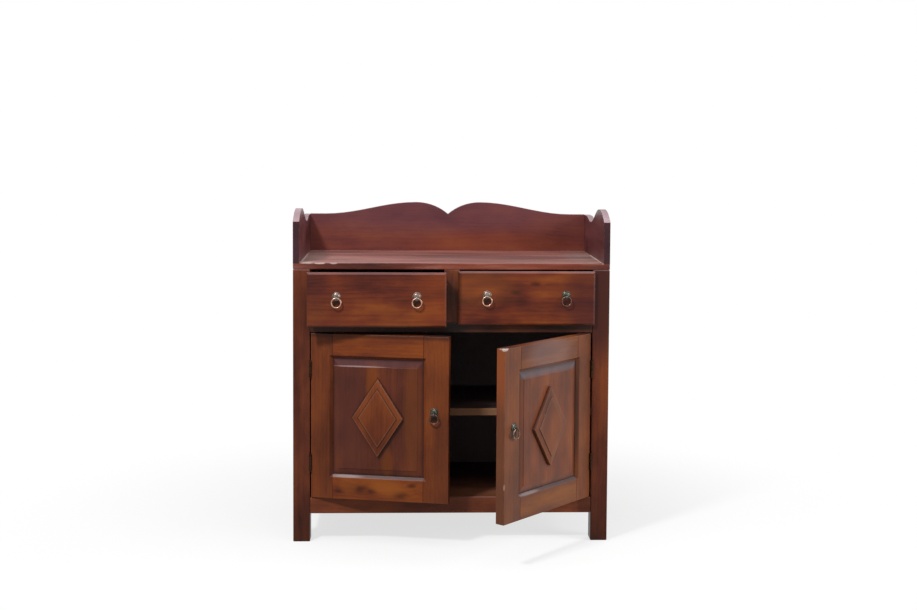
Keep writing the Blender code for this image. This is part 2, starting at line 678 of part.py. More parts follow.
def make_lozenge(name, hinge, low, high, field):
    """An applied lozenge with upright edges, a sloping border and a stepped field, amid the panel."""
    centre = (low + high) / 2
    half_width = (high.x - low.x) / 2 - LOZENGE_SIDE_MARGIN
    half_height = (high.z - low.z) / 2 - LOZENGE_END_MARGIN
    shape = bmesh.new()
    upright = Matrix.Rotation(math.pi / 2, 4, "X")
    stretch = Matrix.Diagonal((half_width, half_height, LOZENGE_WALL, 1.0))
    bmesh.ops.create_cone(shape, cap_ends=True, segments=4, radius1=1.0, radius2=1.0, depth=1.0,
                          matrix=upright @ stretch)
    raise_field(shape, face_towards(shape, (0, -1, 0)), LOZENGE_BORDER, LOZENGE_RISE)
    raise_field(shape, face_towards_middle(shape, (0, -1, 0)), FIT, LOZENGE_STEP)
    add_piece(name + "lozenge", mesh_from(name + "lozenge", shape), hinge,
              (centre.x, field - FIT - LOZENGE_WALL / 2, centre.z), PANEL_COLOUR)


def knuckle_shape(radius, which, gap):
    """Every second knuckle of a hinge, from the first or the second on."""
    shape = bmesh.new()
    pitch = LEAF_LENGTH / KNUCKLE_COUNT
    for count in range(which, KNUCKLE_COUNT, 2):
        height = (count + 0.5) * pitch - LEAF_LENGTH / 2
        cylinder_shape(radius, pitch - gap, HINGE_SIDES, (0, 0, height), "Z", shape)
    return shape


def make_leaf(name, carrier, place, toward, which, receiver):
    """One leaf of a butt hinge, let into the wood, with its own knuckles."""
    x, y, height = place
    near = toward * LEAF_GAP / 2
    far = near + toward * LEAF_THICKNESS
    low = (x + near, y + LEAF_ROOT, height - LEAF_LENGTH / 2)
    high = (x + far, y + HINGE_PROUD + LEAF_WIDTH, height + LEAF_LENGTH / 2)
    house([receiver], name, low, high, carrier)
    first, last = corners(low, high)
    leaf = add_piece(name, mesh_from(name, box_shape(last - first)), carrier, (first + last) / 2,
                     BRASS_COLOUR, 1.0)
    room = knuckle_shape(KNUCKLE_RADIUS + KNUCKLE_CLEARANCE, 1 - which, -2 * KNUCKLE_CLEARANCE)
    combine(leaf, add_tool("room_" + name, room, carrier, place))
    knuckles = knuckle_shape(KNUCKLE_RADIUS, which, KNUCKLE_CLEARANCE)
    combine(leaf, add_tool("knuckles_" + name, knuckles, carrier, place), "UNION")
    return leaf


def make_hinges(side, sign, hinge, post, stile):
    axis = (sign * (INNER - HINGE_GAP / 2), -HINGE_PROUD)
    for level, height in (("upper", DOOR_HIGH - HINGE_INSET), ("lower", DOOR_LOW + HINGE_INSET)):
        name = f"{side}_{level}_hinge_"
        fixed = make_leaf(name + "frame_leaf", sideboard, (*axis, height), sign, 0, post)
        pin = cylinder_shape(PIN_RADIUS, LEAF_LENGTH - KNUCKLE_CLEARANCE * 4, HINGE_SIDES)
        combine(fixed, add_tool("pin_" + name, pin, sideboard, (*axis, height)), "UNION")
        moving = make_leaf(name + "door_leaf", hinge, (0, 0, height), -sign, 1, stile)
        bore = cylinder_shape(PIN_RADIUS + PIN_CLEARANCE, LEAF_LENGTH * 2, HINGE_SIDES)
        combine(moving, add_tool("bore_" + name, bore, hinge, (0, 0, height)))


def make_door(side, sign, opened, posts):
    axis = (sign * (INNER - HINGE_GAP / 2), -HINGE_PROUD, 0)
    hinge = new_empty(side + "_door_hinge", axis, sideboard, sign * opened)
    name = side + "_door_"
    near = HINGE_GAP / 2
    far = INNER - HINGE_GAP / 2 - MEETING_GAP / 2
    stiles, rails = make_frame_pieces(side, sign, hinge, near, far)
    pieces = list(stiles.values()) + rails
    low, high = corners((-sign * (near + HINGE_STILE_WIDTH), 0, DOOR_LOW + DOOR_RAIL_WIDTH),
                        (-sign * (far - FREE_STILE_WIDTH), 0, DOOR_HIGH - DOOR_RAIL_WIDTH))
    cut_frame_chamfer(name, pieces, hinge, low, high)
    field = make_panel(name, pieces, hinge, low, high)
    make_lozenge(name, hinge, low, high, field)
    make_hinges(side, sign, hinge, posts["front", side], stiles["hinge"])
    spot = (-sign * (far - DOOR_PULL_INSET), HINGE_PROUD, (DOOR_LOW + DOOR_HIGH) / 2 + DOOR_PULL_RISE)
    make_pull(name + "pull", hinge, spot, stiles["free"], DOOR_THICKNESS)


def centre_on_floor():
    """Bring the middle of the whole outline, open door included, over the origin."""
    bpy.context.view_layer.update()
    graph = bpy.context.evaluated_depsgraph_get()
    reach = []
    for piece in PARTS.objects:
        if piece.type == "MESH":
            ready = piece.evaluated_get(graph)
            reach += [(ready.matrix_world @ vert.co).y for vert in ready.data.vertices]
    sideboard.location.y = -(min(reach) + max(reach)) / 2


all_posts = make_posts()
side_panels = [make_side_panel("left", -1, all_posts), make_side_panel("right", 1, all_posts)]
make_back_panel(all_posts)
low_rail = make_rail("bottom_rail", LEG, BOTTOM_RAIL_HEIGHT, all_posts)
high_rail = make_rail("middle_rail", MIDDLE_RAIL_LOW, MIDDLE_RAIL_HEIGHT, all_posts)
make_divider(high_rail)
make_inner_boards(all_posts, side_panels, low_rail)
make_top()
make_gallery()
make_drawer("left", -1, LEFT_DRAWER_OUT)
make_drawer("right", 1, RIGHT_DRAWER_OUT)
make_door("left", -1, LEFT_DOOR_OPEN, all_posts)
make_door("right", 1, RIGHT_DOOR_OPEN, all_posts)
centre_on_floor()
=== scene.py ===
"""The looks of a stained teak sideboard with ring pulls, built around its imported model."""
import functools
import json
import math

import bmesh
import bpy
from mathutils import Euler, Matrix, Vector

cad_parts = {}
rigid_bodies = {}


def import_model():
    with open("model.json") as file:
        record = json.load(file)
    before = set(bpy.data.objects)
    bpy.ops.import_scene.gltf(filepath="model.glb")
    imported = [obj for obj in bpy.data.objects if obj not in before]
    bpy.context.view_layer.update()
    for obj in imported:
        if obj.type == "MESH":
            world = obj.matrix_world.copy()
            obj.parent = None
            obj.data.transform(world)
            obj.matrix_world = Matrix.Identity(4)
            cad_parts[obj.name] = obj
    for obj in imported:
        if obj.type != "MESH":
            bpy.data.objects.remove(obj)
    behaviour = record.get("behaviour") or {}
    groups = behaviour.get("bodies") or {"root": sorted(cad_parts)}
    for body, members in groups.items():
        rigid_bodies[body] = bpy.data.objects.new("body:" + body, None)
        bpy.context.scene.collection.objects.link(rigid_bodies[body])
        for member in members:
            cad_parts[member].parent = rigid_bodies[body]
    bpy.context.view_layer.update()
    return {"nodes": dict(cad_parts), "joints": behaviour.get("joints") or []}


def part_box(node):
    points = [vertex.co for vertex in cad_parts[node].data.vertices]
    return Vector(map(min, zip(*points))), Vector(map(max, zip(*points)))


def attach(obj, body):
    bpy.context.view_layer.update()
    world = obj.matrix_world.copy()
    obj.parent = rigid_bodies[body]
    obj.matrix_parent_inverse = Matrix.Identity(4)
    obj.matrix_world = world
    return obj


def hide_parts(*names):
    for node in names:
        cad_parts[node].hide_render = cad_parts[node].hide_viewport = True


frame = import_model()

# Four square posts of solid teak run from the floor to the top board and carry everything else. They are sawn
# along the grain, planed, stained a mahogany red-brown and varnished by hand. Towards their feet they are
# painted darker, as painted shade near the floor.
QUARTER = math.pi / 2
UPRIGHT = (QUARTER, -QUARTER, 0.0)
POST_TONES = ("34150a", "552718", "69341f", "783d1d")
POST_FOOT_SHADE = 0.55
FOOT_SHADE_HEIGHT = 0.13
FOOT_SHADE_RAGGED = 0.04

# Stained teak gives the eye a red-brown ground with darker rings, which widen to flames where the saw cut
# them at a slant. The stain lies dark in pores, knots and end grain and thin on rubbed arrises, under a soft
# gloss. Each pattern has its length along the grain and its width across it in millimetres, and how finely
# it breaks up. Real pores, about 0.3 mm wide, are too fine to show, so they are drawn 1.6 mm wide.
GRAIN_SIZES = {"blotch": (120, 60, 2.0), "flame": (380, 80, 2.0), "wobble": (300, 80, 2.0),
               "pore": (22, 1.6, 1.0), "ragged": (24, 10, 3.0)}
STREAK_DETAIL = 4.0
CUT_SHIFT = Vector((1.7, 0.9, 0.4))
RING_WIDTH = 0.0085
RING_WOBBLE = 0.05
RING_TAPER = 0.05
PITH_ACROSS = 0.09
PITH_DEPTH = 0.055
PITH_SWING = 2.4
KNOT_STRETCH = 0.45
KNOT_RAGGED = 1.2
KNOT_CORE = 0.7
KNOT_RIM = 2.4
KNOT_DARKNESS = 0.65
PUSH_CORE = 0.6
PUSH_RIM = 6
PUSH_SHARE = 2.2
TONE_PLACES = (0.22, 0.42, 0.56, 0.76)
FLAME_WEIGHT = 0.9
LATE_WEIGHT = -0.06
PORE_WEIGHT = -0.08
# The knots' soaked tone also paints the shade towards the posts' feet.
SOAKED_AND_SHADE_TONE = "1c0f09"
END_GRAIN_TONE = "2e1c22"
# Pale film on upward faces: partly dusty, partly painted sheen of the pale room.
DUST_AND_SHEEN_TONE = "b09aa0"
# The groove tone is grime and painted shade.
GROOVE_GRIME_AND_SHADE_TONE = "1c0f0b"
RUBBED_TONE = "8f6048"
BARE_TONE = "d8c6bc"
HAZE_TONE = "d0a29a"
END_GRAIN_SHARE = 0.75
STAIN_CORE = 0.45
STAIN_RIM = 1.2
WEAR_RAGGED = 0.007
WEAR_CORE = 0.0026
WEAR_RIM = 0.0046
LINE_CORE = 0.25
CHIP_RAGGED = 2.0
CHIP_CORE = 1.8
CHIP_RIM = 2.05
STREAK_DULLNESS = 0.16
DUST_DULLNESS = 0.25
LATE_RELIEF = -0.4
PORE_DEPTH = 0.0005


def linear(code):
    """A colour written as sRGB hex, as the linear values that a socket takes."""
    parts = [int(code[start:start + 2], 16) / 255 for start in (0, 2, 4)]
    curved = [((part + 0.055) / 1.055) ** 2.4 if part > 0.04045 else part / 12.92 for part in parts]
    return (*curved, 1.0)


def add_node(tree, kind, feeds=None, take=0, **settings):
    """Add a node with its settings, feed its inputs with values or sockets, and give one of its outputs."""
    node = tree.nodes.new(kind)
    for name, value in settings.items():
        setattr(node, name, value)
    for key, feed in (feeds or {}).items():
        for single in feed if isinstance(feed, list) else [feed]:
            if isinstance(single, bpy.types.NodeSocket):
                tree.links.new(single, node.inputs[key])
            else:
                node.inputs[key].default_value = single
    return node.outputs[take] if node.outputs else node


def new_material(name):
    """An empty material and the call that adds nodes to it."""
    material = bpy.data.materials.new(name)
    material.use_nodes = True
    material.node_tree.nodes.clear()
    return material, functools.partial(add_node, material.node_tree)


def board_box(name, turn):
    """Centre of a board, and its half sizes along the grain, across it and through it."""
    lie = Euler(turn).to_matrix()
    points = [lie.inverted() @ vert.co for vert in frame["nodes"][name].data.vertices]
    low = Vector([min(point[axis] for point in points) for axis in range(3)])
    high = Vector([max(point[axis] for point in points) for axis in range(3)])
    return lie @ ((low + high) / 2), (high - low) / 2


def grain_patterns(add, local, seed, streak):
    """Noise drawn out along the grain for each pattern; the seed makes each board another cut."""
    grain = {}
    sizes = {**GRAIN_SIZES, "streak": (*streak[:2], STREAK_DETAIL)}
    for pattern, (along, across, detail) in sizes.items():
        drawn = add("ShaderNodeMapping", {"Vector": local, "Location": CUT_SHIFT * seed,
                                          "Scale": (1000 / along, 1000 / across, 1000 / across)})
        grain[pattern] = add("ShaderNodeTexNoise", {"Vector": drawn, "Scale": 1.0, "Detail": detail})
    return grain


def draw_knots(add, local, grain, knots):
    """How dark the knots are, and how far wobble and knots push the rings aside."""
    dark = 0.0
    swell = add("ShaderNodeMath", {0: grain["wobble"], 1: RING_WOBBLE, 2: -RING_WOBBLE / 2},
                operation="MULTIPLY_ADD")
    for along, across, size in knots:
        level = add("ShaderNodeVectorMath", {0: local, 1: (KNOT_STRETCH, 1.0, 0.0)}, operation="MULTIPLY")
        middle = (KNOT_STRETCH * along, across, 0.0)
        gap = add("ShaderNodeVectorMath", {0: level, 1: middle}, "Value", operation="DISTANCE")
        gap = add("ShaderNodeMath", {0: grain["ragged"], 1: KNOT_RAGGED * size, 2: gap},
                  operation="MULTIPLY_ADD")
        near = add("ShaderNodeMapRange", {"Value": gap, "From Min": KNOT_CORE * size,
                                          "From Max": KNOT_RIM * size, "To Min": KNOT_DARKNESS,
                                          "To Max": 0.0}, interpolation_type="SMOOTHSTEP")
        push = add("ShaderNodeMapRange", {"Value": gap, "From Min": PUSH_CORE * size,
                                          "From Max": PUSH_RIM * size, "To Min": PUSH_SHARE * size,
                                          "To Max": 0.0}, interpolation_type="SMOOTHSTEP")
        dark = add("ShaderNodeMath", {0: dark, 1: near}, operation="MAXIMUM")
        swell = add("ShaderNodeMath", {0: swell, 1: push}, operation="ADD")
    return dark, swell


def late_wood(add, local, swell, seed):
    """The dark late wood of the rings round a pith that lies behind the board."""
    bend = add("ShaderNodeCombineXYZ", {"Y": swell})
    bent = add("ShaderNodeVectorMath", {0: local, 1: bend}, operation="ADD")
    pith = (0.0, PITH_ACROSS * math.cos(PITH_SWING * seed), PITH_DEPTH)
    bent = add("ShaderNodeVectorMath", {0: bent, 1: (RING_TAPER, 1.0, 1.0), 2: pith},
               operation="MULTIPLY_ADD")
    radius = add("ShaderNodeVectorMath", {0: bent}, "Value", operation="LENGTH")
    year = add("ShaderNodeMath", {0: radius, 1: RING_WIDTH}, operation="DIVIDE")
    year = add("ShaderNodeMath", {0: year}, operation="FRACT")
    return add("ShaderNodeMapRange", {"Value": year, "From Min": 0.3, "From Max": 0.95},
               interpolation_type="SMOOTHSTEP")


def stain_colour(add, grain, late, pores, weights, figure, tones):
    """The stain, darker where more of it soaked in, in four tones from dark to light."""
    value = 0.5
    for pattern, weight in weights.items():
        part = add("ShaderNodeMath", {0: grain[pattern], 1: 0.5}, operation="SUBTRACT")
        value = add("ShaderNodeMath", {0: part, 1: weight * figure, 2: value}, operation="MULTIPLY_ADD")
    value = add("ShaderNodeMath", {0: late, 1: LATE_WEIGHT * figure, 2: value}, operation="MULTIPLY_ADD")
    value = add("ShaderNodeMath", {0: pores, 1: PORE_WEIGHT, 2: value}, operation="MULTIPLY_ADD")
    stain = add("ShaderNodeValToRGB", {"Fac": value})
    stops = stain.node.color_ramp.elements
    for place, tone in zip(TONE_PLACES, tones):
        stop = stops.new(place)
        stop.color = linear(tone)
    stops.remove(stops[0])
    stops.remove(stops[-1])
    return stain


def lay_stains(add, local, shown, colour, stains):
    """Lay soft oval patches on the face: (along, across), (reach along, reach across), strength, tint."""
    for spot, reach, strength, tint in stains:
        gap = add("ShaderNodeVectorMath", {0: local, 1: (*spot, 0.0)}, operation="SUBTRACT")
        gap = add("ShaderNodeVectorMath", {0: gap, 1: (1 / reach[0], 1 / reach[1], 0.0)},
                  operation="MULTIPLY")
        gap = add("ShaderNodeVectorMath", {0: gap}, "Value", operation="LENGTH")
        near = add("ShaderNodeMapRange", {"Value": gap, "From Min": STAIN_CORE, "From Max": STAIN_RIM,
                                          "To Min": strength, "To Max": 0.0},
                   interpolation_type="SMOOTHSTEP")
        near = add("ShaderNodeMath", {0: near, 1: shown}, operation="MULTIPLY")
        colour = add("ShaderNodeMix", {0: near, 6: colour, 7: linear(tint)}, 2, data_type="RGBA")
    return colour


def wear_edges(add, away, half, ragged, colour, grime_and_shade_crease, wear):
    """Rub the arrises pale; the crease darkens a panel's groove with grime and painted shade: its start, end
    and strength.
    """
    gaps = [add("ShaderNodeMath", {0: size, 1: lane}, operation="SUBTRACT")
            for size, lane in zip(half, away)]
    least = add("ShaderNodeMath", {0: gaps[0], 1: gaps[1]}, operation="MINIMUM")
    if grime_and_shade_crease:
        groove_grime_and_shade = add("ShaderNodeMapRange", {"Value": least, "From Min": grime_and_shade_crease[0], "From Max": grime_and_shade_crease[1],
                                          "To Min": grime_and_shade_crease[2], "To Max": 0.0})
        colour = add("ShaderNodeMix", {0: groove_grime_and_shade, 6: colour, 7: linear(GROOVE_GRIME_AND_SHADE_TONE)}, 2, data_type="RGBA")
    most = add("ShaderNodeMath", {0: gaps[0], 1: gaps[1]}, operation="MAXIMUM")
    most = add("ShaderNodeMath", {0: most, 1: gaps[2]}, operation="MINIMUM")
    inner = add("ShaderNodeMath", {0: least, 1: most}, operation="MAXIMUM")
    inner = add("ShaderNodeMath", {0: ragged, 1: WEAR_RAGGED, 2: inner}, operation="MULTIPLY_ADD")
    rubbed = add("ShaderNodeMapRange", {"Value": inner, "From Min": WEAR_CORE, "From Max": WEAR_RIM,
                                        "To Min": wear, "To Max": 0.0})
    return add("ShaderNodeMix", {0: rubbed, 6: colour, 7: linear(RUBBED_TONE)}, 2, data_type="RGBA")


def draw_lines(add, away, shown, colour, lozenge, lines):
    """Lines along a lozenge of given half sizes: inset from its edge, half width, strength, tint."""
    for inset, reach, strength, tint in lines:
        lean = lozenge.x * lozenge.y / math.hypot(lozenge.x, lozenge.y)
        off = add("ShaderNodeMath", {0: away[0], 1: lean / lozenge.x, 2: inset - lean},
                  operation="MULTIPLY_ADD")
        off = add("ShaderNodeMath", {0: away[1], 1: lean / lozenge.y, 2: off}, operation="MULTIPLY_ADD")
        off = add("ShaderNodeMath", {0: off}, operation="ABSOLUTE")
        near = add("ShaderNodeMapRange", {"Value": off, "From Min": LINE_CORE * reach, "From Max": reach,
                                          "To Min": strength, "To Max": 0.0})
        near = add("ShaderNodeMath", {0: near, 1: shown}, operation="MULTIPLY")
        colour = add("ShaderNodeMix", {0: near, 6: colour, 7: linear(tint)}, 2, data_type="RGBA")
    return colour


def chip_off(add, local, half, ragged, colour, chips):
    """Ragged chips down to bare wood: the place in half sizes of the board, the reach and the strength."""
    for corner, reach, strength in chips:
        spot = Vector([size * side for size, side in zip(half, corner)])
        gap = add("ShaderNodeVectorMath", {0: local, 1: spot}, operation="SUBTRACT")
        gap = add("ShaderNodeVectorMath", {0: gap, 1: tuple(1 / size for size in reach)},
                  operation="MULTIPLY")
        gap = add("ShaderNodeVectorMath", {0: gap}, "Value", operation="LENGTH")
        gap = add("ShaderNodeMath", {0: ragged, 1: CHIP_RAGGED, 2: gap}, operation="MULTIPLY_ADD")
        bare = add("ShaderNodeMapRange", {"Value": gap, "From Min": CHIP_CORE, "From Max": CHIP_RIM,
                                          "To Min": strength, "To Max": 0.0})
        colour = add("ShaderNodeMix", {0: bare, 6: colour, 7: linear(BARE_TONE)}, 2, data_type="RGBA")
    return colour


def stained_teak(name, turn, tones, seed, figure=1.0, blotch=0.9, streak=(260, 9, 0.3), gloss=0.34,
                 shine=0.15, haze=0.0, wear=0.35, dust_and_sheen=0.3, foot_shade=0.0, knots=(), stains=(), grime_and_shade_crease=None,
                 lozenge=None, lines=(), chips=()):
    """Finish one board, whose grain lies as turn says; marks lie on it from its middle, in metres."""
    centre, half = board_box(name, turn)
    material, add = new_material("stained_teak_" + name)
    surface = add("ShaderNodeTexCoord").node.outputs
    local = add("ShaderNodeMapping", {"Vector": surface["Object"], "Location": centre, "Rotation": turn},
                vector_type="TEXTURE")
    lanes = add("ShaderNodeSeparateXYZ", {"Vector": local}).node.outputs
    away = [add("ShaderNodeMath", {0: lane}, operation="ABSOLUTE") for lane in lanes]
    facing = add("ShaderNodeMapping", {"Vector": surface["Normal"], "Rotation": turn}, vector_type="TEXTURE")
    facing = add("ShaderNodeSeparateXYZ", {"Vector": facing}).node.outputs
    shown = 1.0
    if stains or lines:
        shown = add("ShaderNodeMapRange", {"Value": facing["Z"], "From Min": -0.9, "From Max": -0.5})

    grain = grain_patterns(add, local, seed, streak)
    dark, swell = draw_knots(add, local, grain, knots)
    late = late_wood(add, local, swell, seed)
    pores = add("ShaderNodeMapRange", {"Value": grain["pore"], "From Min": 0.56, "From Max": 0.7})
    weights = {"blotch": blotch, "flame": FLAME_WEIGHT, "streak": streak[2]}
    colour = stain_colour(add, grain, late, pores, weights, figure, tones)
    # Painted shade: the board darkens towards its lower end, with a ragged edge, in the knots' tone.
    if foot_shade:
        foot = add("ShaderNodeMath", {0: grain["ragged"], 1: FOOT_SHADE_RAGGED, 2: lanes["X"]},
                   operation="MULTIPLY_ADD")
        foot = add("ShaderNodeMapRange", {"Value": foot, "From Min": -half.x,
                                          "From Max": FOOT_SHADE_HEIGHT - half.x, "To Min": foot_shade, "To Max": 0.0})
        dark = add("ShaderNodeMath", {0: dark, 1: foot}, operation="MAXIMUM")
    colour = add("ShaderNodeMix", {0: dark, 6: colour, 7: linear(SOAKED_AND_SHADE_TONE)}, 2, data_type="RGBA")
    colour = lay_stains(add, local, shown, colour, stains)

    ends = add("ShaderNodeMath", {0: facing["X"]}, operation="ABSOLUTE")
    ends = add("ShaderNodeMapRange", {"Value": ends, "From Min": 0.6, "From Max": 0.95,
                                      "To Max": END_GRAIN_SHARE})
    colour = add("ShaderNodeMix", {0: ends, 6: colour, 7: linear(END_GRAIN_TONE)}, 2, data_type="RGBA")
    # Upward faces get a pale film in streaks along the grain: partly dusty, partly painted sheen of the pale
    # room on the varnish.
    upward = add("ShaderNodeSeparateXYZ", {"Vector": surface["Normal"]}, "Z")
    upward = add("ShaderNodeMapRange", {"Value": upward, "From Min": 0.05, "From Max": 0.9})
    bands = add("ShaderNodeMapRange", {"Value": grain["flame"], "From Min": 0.3, "From Max": 0.7,
                                       "To Min": 0.4 * dust_and_sheen, "To Max": 1.6 * dust_and_sheen})
    film = add("ShaderNodeMath", {0: upward, 1: bands}, operation="MULTIPLY")
    colour = add("ShaderNodeMix", {0: film, 6: colour, 7: linear(DUST_AND_SHEEN_TONE)}, 2, data_type="RGBA")
    colour = wear_edges(add, away, half, grain["ragged"], colour, grime_and_shade_crease, wear)
    colour = draw_lines(add, away, shown, colour, lozenge, lines)
    colour = chip_off(add, local, half, grain["ragged"], colour, chips)

    dull = add("ShaderNodeMath", {0: grain["streak"], 1: STREAK_DULLNESS, 2: gloss - STREAK_DULLNESS / 2},
               operation="MULTIPLY_ADD")
    dull = add("ShaderNodeMath", {0: film, 1: DUST_DULLNESS, 2: dull}, operation="MULTIPLY_ADD")
    height = add("ShaderNodeMath", {0: pores, 1: -1.0}, operation="MULTIPLY")
    height = add("ShaderNodeMath", {0: late, 1: LATE_RELIEF, 2: height}, operation="MULTIPLY_ADD")
    bump = add("ShaderNodeBump", {"Height": height, "Strength": 0.2, "Distance": PORE_DEPTH})
    wood = add("ShaderNodeBsdfPrincipled", {"Base Color": colour, "Roughness": dull, "Normal": bump,
                                            "IOR": 1.5, "Specular IOR Level": shine, "Sheen Weight": haze,
                                            "Sheen Roughness": 0.4, "Sheen Tint": linear(HAZE_TONE)})
    add("ShaderNodeOutputMaterial", {"Surface": wood})
    frame["nodes"][name].data.materials.clear()
    frame["nodes"][name].data.materials.append(material)


dark_top = ((0.30, 0.0), (0.18, 0.06), 0.8, "2f1415")
post_stains = {"front_right_post": (dark_top,)}
for count, name in enumerate(("front_left_post", "front_right_post", "back_left_post", "back_right_post")):
    stained_teak(name, UPRIGHT, POST_TONES, 3.1 + count, figure=0.7, foot_shade=POST_FOOT_SHADE,
                 stains=post_stains.get(name, ()))

# Two solid teak boards close the sides of the carcass. They are tongued into grooves in the posts and set
# back from their outer faces.
UPRIGHT_SIDE = (QUARTER, -QUARTER, -QUARTER)
SIDE_TONES = ("3a170f", "5a281b", "6f341f", "84431f")
stained_teak("left_side_panel", UPRIGHT_SIDE, SIDE_TONES, 8.3, figure=0.6)
stained_teak("right_side_panel", UPRIGHT_SIDE, SIDE_TONES, 9.6, figure=0.6)

# A plain thin board closes the back. It runs in grooves of the back posts, is never seen in use and got one
# thin coat of brown stain without varnish. Its inner face is painted a bluish grey, the tint of the shade
# inside the cupboard.
BACK_TONES = ("3e231b", "56342a", "664137", "765045")
ALL_OVER = 9.0
painted_shade_tint = ((0.0, 0.0), (ALL_OVER, ALL_OVER), 0.65, "858289")
stained_teak("back_panel", UPRIGHT, BACK_TONES, 11.2, figure=0.8, gloss=0.6, wear=0.1, stains=(painted_shade_tint,))

# Bottom rail and middle rail of teak are tenoned between the front posts, and the divider between the drawers
# stands on the middle rail. All three lie just behind the posts' front faces. The middle rail's dark tones
# are painted shade under the drawers.
ALONG = (QUARTER, 0.0, 0.0)
RAIL_TONES = ("421e11", "693521", "844428", "995229")
SHADED_RAIL_TONES = ("1c100c", "301a13", "42231a", "54301f")
DIVIDER_TONES = ("32160d", "522a1b", "683622", "7a4222")
stained_teak("bottom_rail", ALONG, RAIL_TONES, 13.7, figure=0.7, dust_and_sheen=0.15)
stained_teak("middle_rail", ALONG, SHADED_RAIL_TONES, 14.9, dust_and_sheen=0.15)
stained_teak("drawer_divider", UPRIGHT, DIVIDER_TONES, 15.4)

# Bottom board, shelf, dust board and the guide between the drawers are housed in the sides. Like the back,
# they are stained thin, and dull for want of varnish. The shelf's dark grey tones and the dark grey at the
# back of the bottom board are painted shade inside the cupboard, and the shelf's front edge is painted paler,
# as painted light where the light reaches it.
FLAT = (0.0, 0.0, 0.0)
FLAT_SIDE = (0.0, 0.0, QUARTER)
SHADED_SHELF_TONES = ("261e1d", "332726", "40302e", "4c3a34")
BOTTOM_TONES = ("42251a", "623a29", "784b33", "8a5a3a")
front_edge = board_box("shelf", FLAT)[1].y
painted_rear_shade = ((0.0, 0.16), (2.0, 0.22), 0.7, "35323a")
lit_shelf_edge = ((0.0, -front_edge), (2.0, 0.008), 0.9, "946a4c")
stained_teak("bottom_board", FLAT, BOTTOM_TONES, 17.2, figure=0.6, gloss=0.55, wear=0.1, dust_and_sheen=0.0,
             stains=(painted_rear_shade,))
stained_teak("shelf", FLAT, SHADED_SHELF_TONES, 18.4, figure=0.6, gloss=0.55, wear=0.0, dust_and_sheen=0.0,
             stains=(lit_shelf_edge,))
stained_teak("drawer_dust_board", FLAT, BACK_TONES, 19.5, gloss=0.6, wear=0.1, dust_and_sheen=0.0)
stained_teak("drawer_centre_guide", FLAT_SIDE, BACK_TONES, 20.3, gloss=0.6, wear=0.1, dust_and_sheen=0.0)

# The top board of teak lies on the posts and carries the most wear: its varnish is rubbed at the arrises,
# dull and streaked pale along the grain with a dusty film and painted sheen, greyed at both ends, and chipped
# off beside the gallery and at the front corners.
TOP_TONES = ("42201a", "70392f", "8e4e40", "ae8276")
top_stains = (((-0.41, 0.0), (0.05, 0.24), 0.4, "6a625a"), ((0.40, 0.0), (0.06, 0.24), 0.4, "6a625a"),
              # The broad darker patch on the left end is painted shade, dimming the end that the key light
              # brightens.
              ((-0.26, 0.0), (0.15, 0.30), 0.3, "5a2c2a"), ((-0.28, -0.23), (0.25, 0.012), 0.45, "3a1a16"),
              ((0.2, -0.23), (0.25, 0.012), 0.4, "6a2c10"), ((-0.06, -0.035), (0.25, 0.014), 0.4, "44201e"),
              ((0.21, 0.0), (0.22, 0.016), 0.4, "44201e"))
top_chips = (((-0.955, -0.3, 1.0), (0.004, 0.16, 0.004), 0.7),
             ((0.955, -0.3, 1.0), (0.004, 0.14, 0.004), 0.7),
             ((-0.92, -0.9, 1.0), (0.022, 0.030, 0.003), 0.4),
             ((-0.83, -1.0, 1.0), (0.014, 0.008, 0.003), 0.5),
             ((-0.75, -1.0, 1.0), (0.010, 0.008, 0.003), 0.4),
             ((0.91, -0.9, 1.0), (0.02, 0.008, 0.002), 0.3))
stained_teak("top_board", FLAT, TOP_TONES, 23.8, figure=0.85, blotch=0.15, streak=(420, 26, 1.3), gloss=0.4,
             haze=0.25, wear=0.6, dust_and_sheen=0.1, stains=top_stains, chips=top_chips)

# Three teak boards sawn to a scalloped outline make the gallery. They stand in shallow rebates round the top
# board, and their grain runs along them.
ALONG_SIDE = (QUARTER, 0.0, QUARTER)
GALLERY_TONES = ("4a221f", "64322e", "703a2f", "7e4833")
GALLERY_SIDE_TONES = ("371b1c", "4f2b2d", "603638", "73443f")
# Their upward edges carry a heavy pale film, partly dusty and partly painted sheen. The purple band along the
# top of the back is partly painted reflection of the pale room in the varnish, partly faded stain.
gallery_stains = (((-0.05, 0.05), (0.6, 0.075), 0.4, "5a3a46"), ((0.15, -0.06), (0.3, 0.05), 0.3, "8a401e"))
stained_teak("gallery_back", ALONG, GALLERY_TONES, 26.1, figure=0.6, dust_and_sheen=0.5, stains=gallery_stains)
stained_teak("gallery_left_side", ALONG_SIDE, GALLERY_SIDE_TONES, 27.3, figure=0.8, dust_and_sheen=0.6)
stained_teak("gallery_right_side", ALONG_SIDE, GALLERY_SIDE_TONES, 28.8, figure=0.8, dust_and_sheen=0.6)

# Each drawer front is one wide teak board with a bevelled lip. Its grain runs across the drawer, with two
# small knots on the right one, and it is darker behind the rings.
DRAWER_TONES = ("3e1912", "5c271a", "6d321b", "82441f")
RING_PATCH_TONE = "150b07"
RING_PATCH_REACH = 0.0125
RING_RADIUS = 0.0132
joint_of = {joint["child"]: joint for joint in frame["joints"]}


def behind_ring(body, board, turn, strength, reach=RING_PATCH_REACH):
    """The darker patch that a hanging ring frames on its board."""
    centre, half = board_box(board, turn)
    hung = Vector(joint_of[body]["pos_m"]) - Vector((0.0, 0.0, RING_RADIUS))
    spot = Euler(turn).to_matrix().inverted() @ (hung - centre)
    return (spot.x, spot.y), (reach, reach), strength, RING_PATCH_TONE


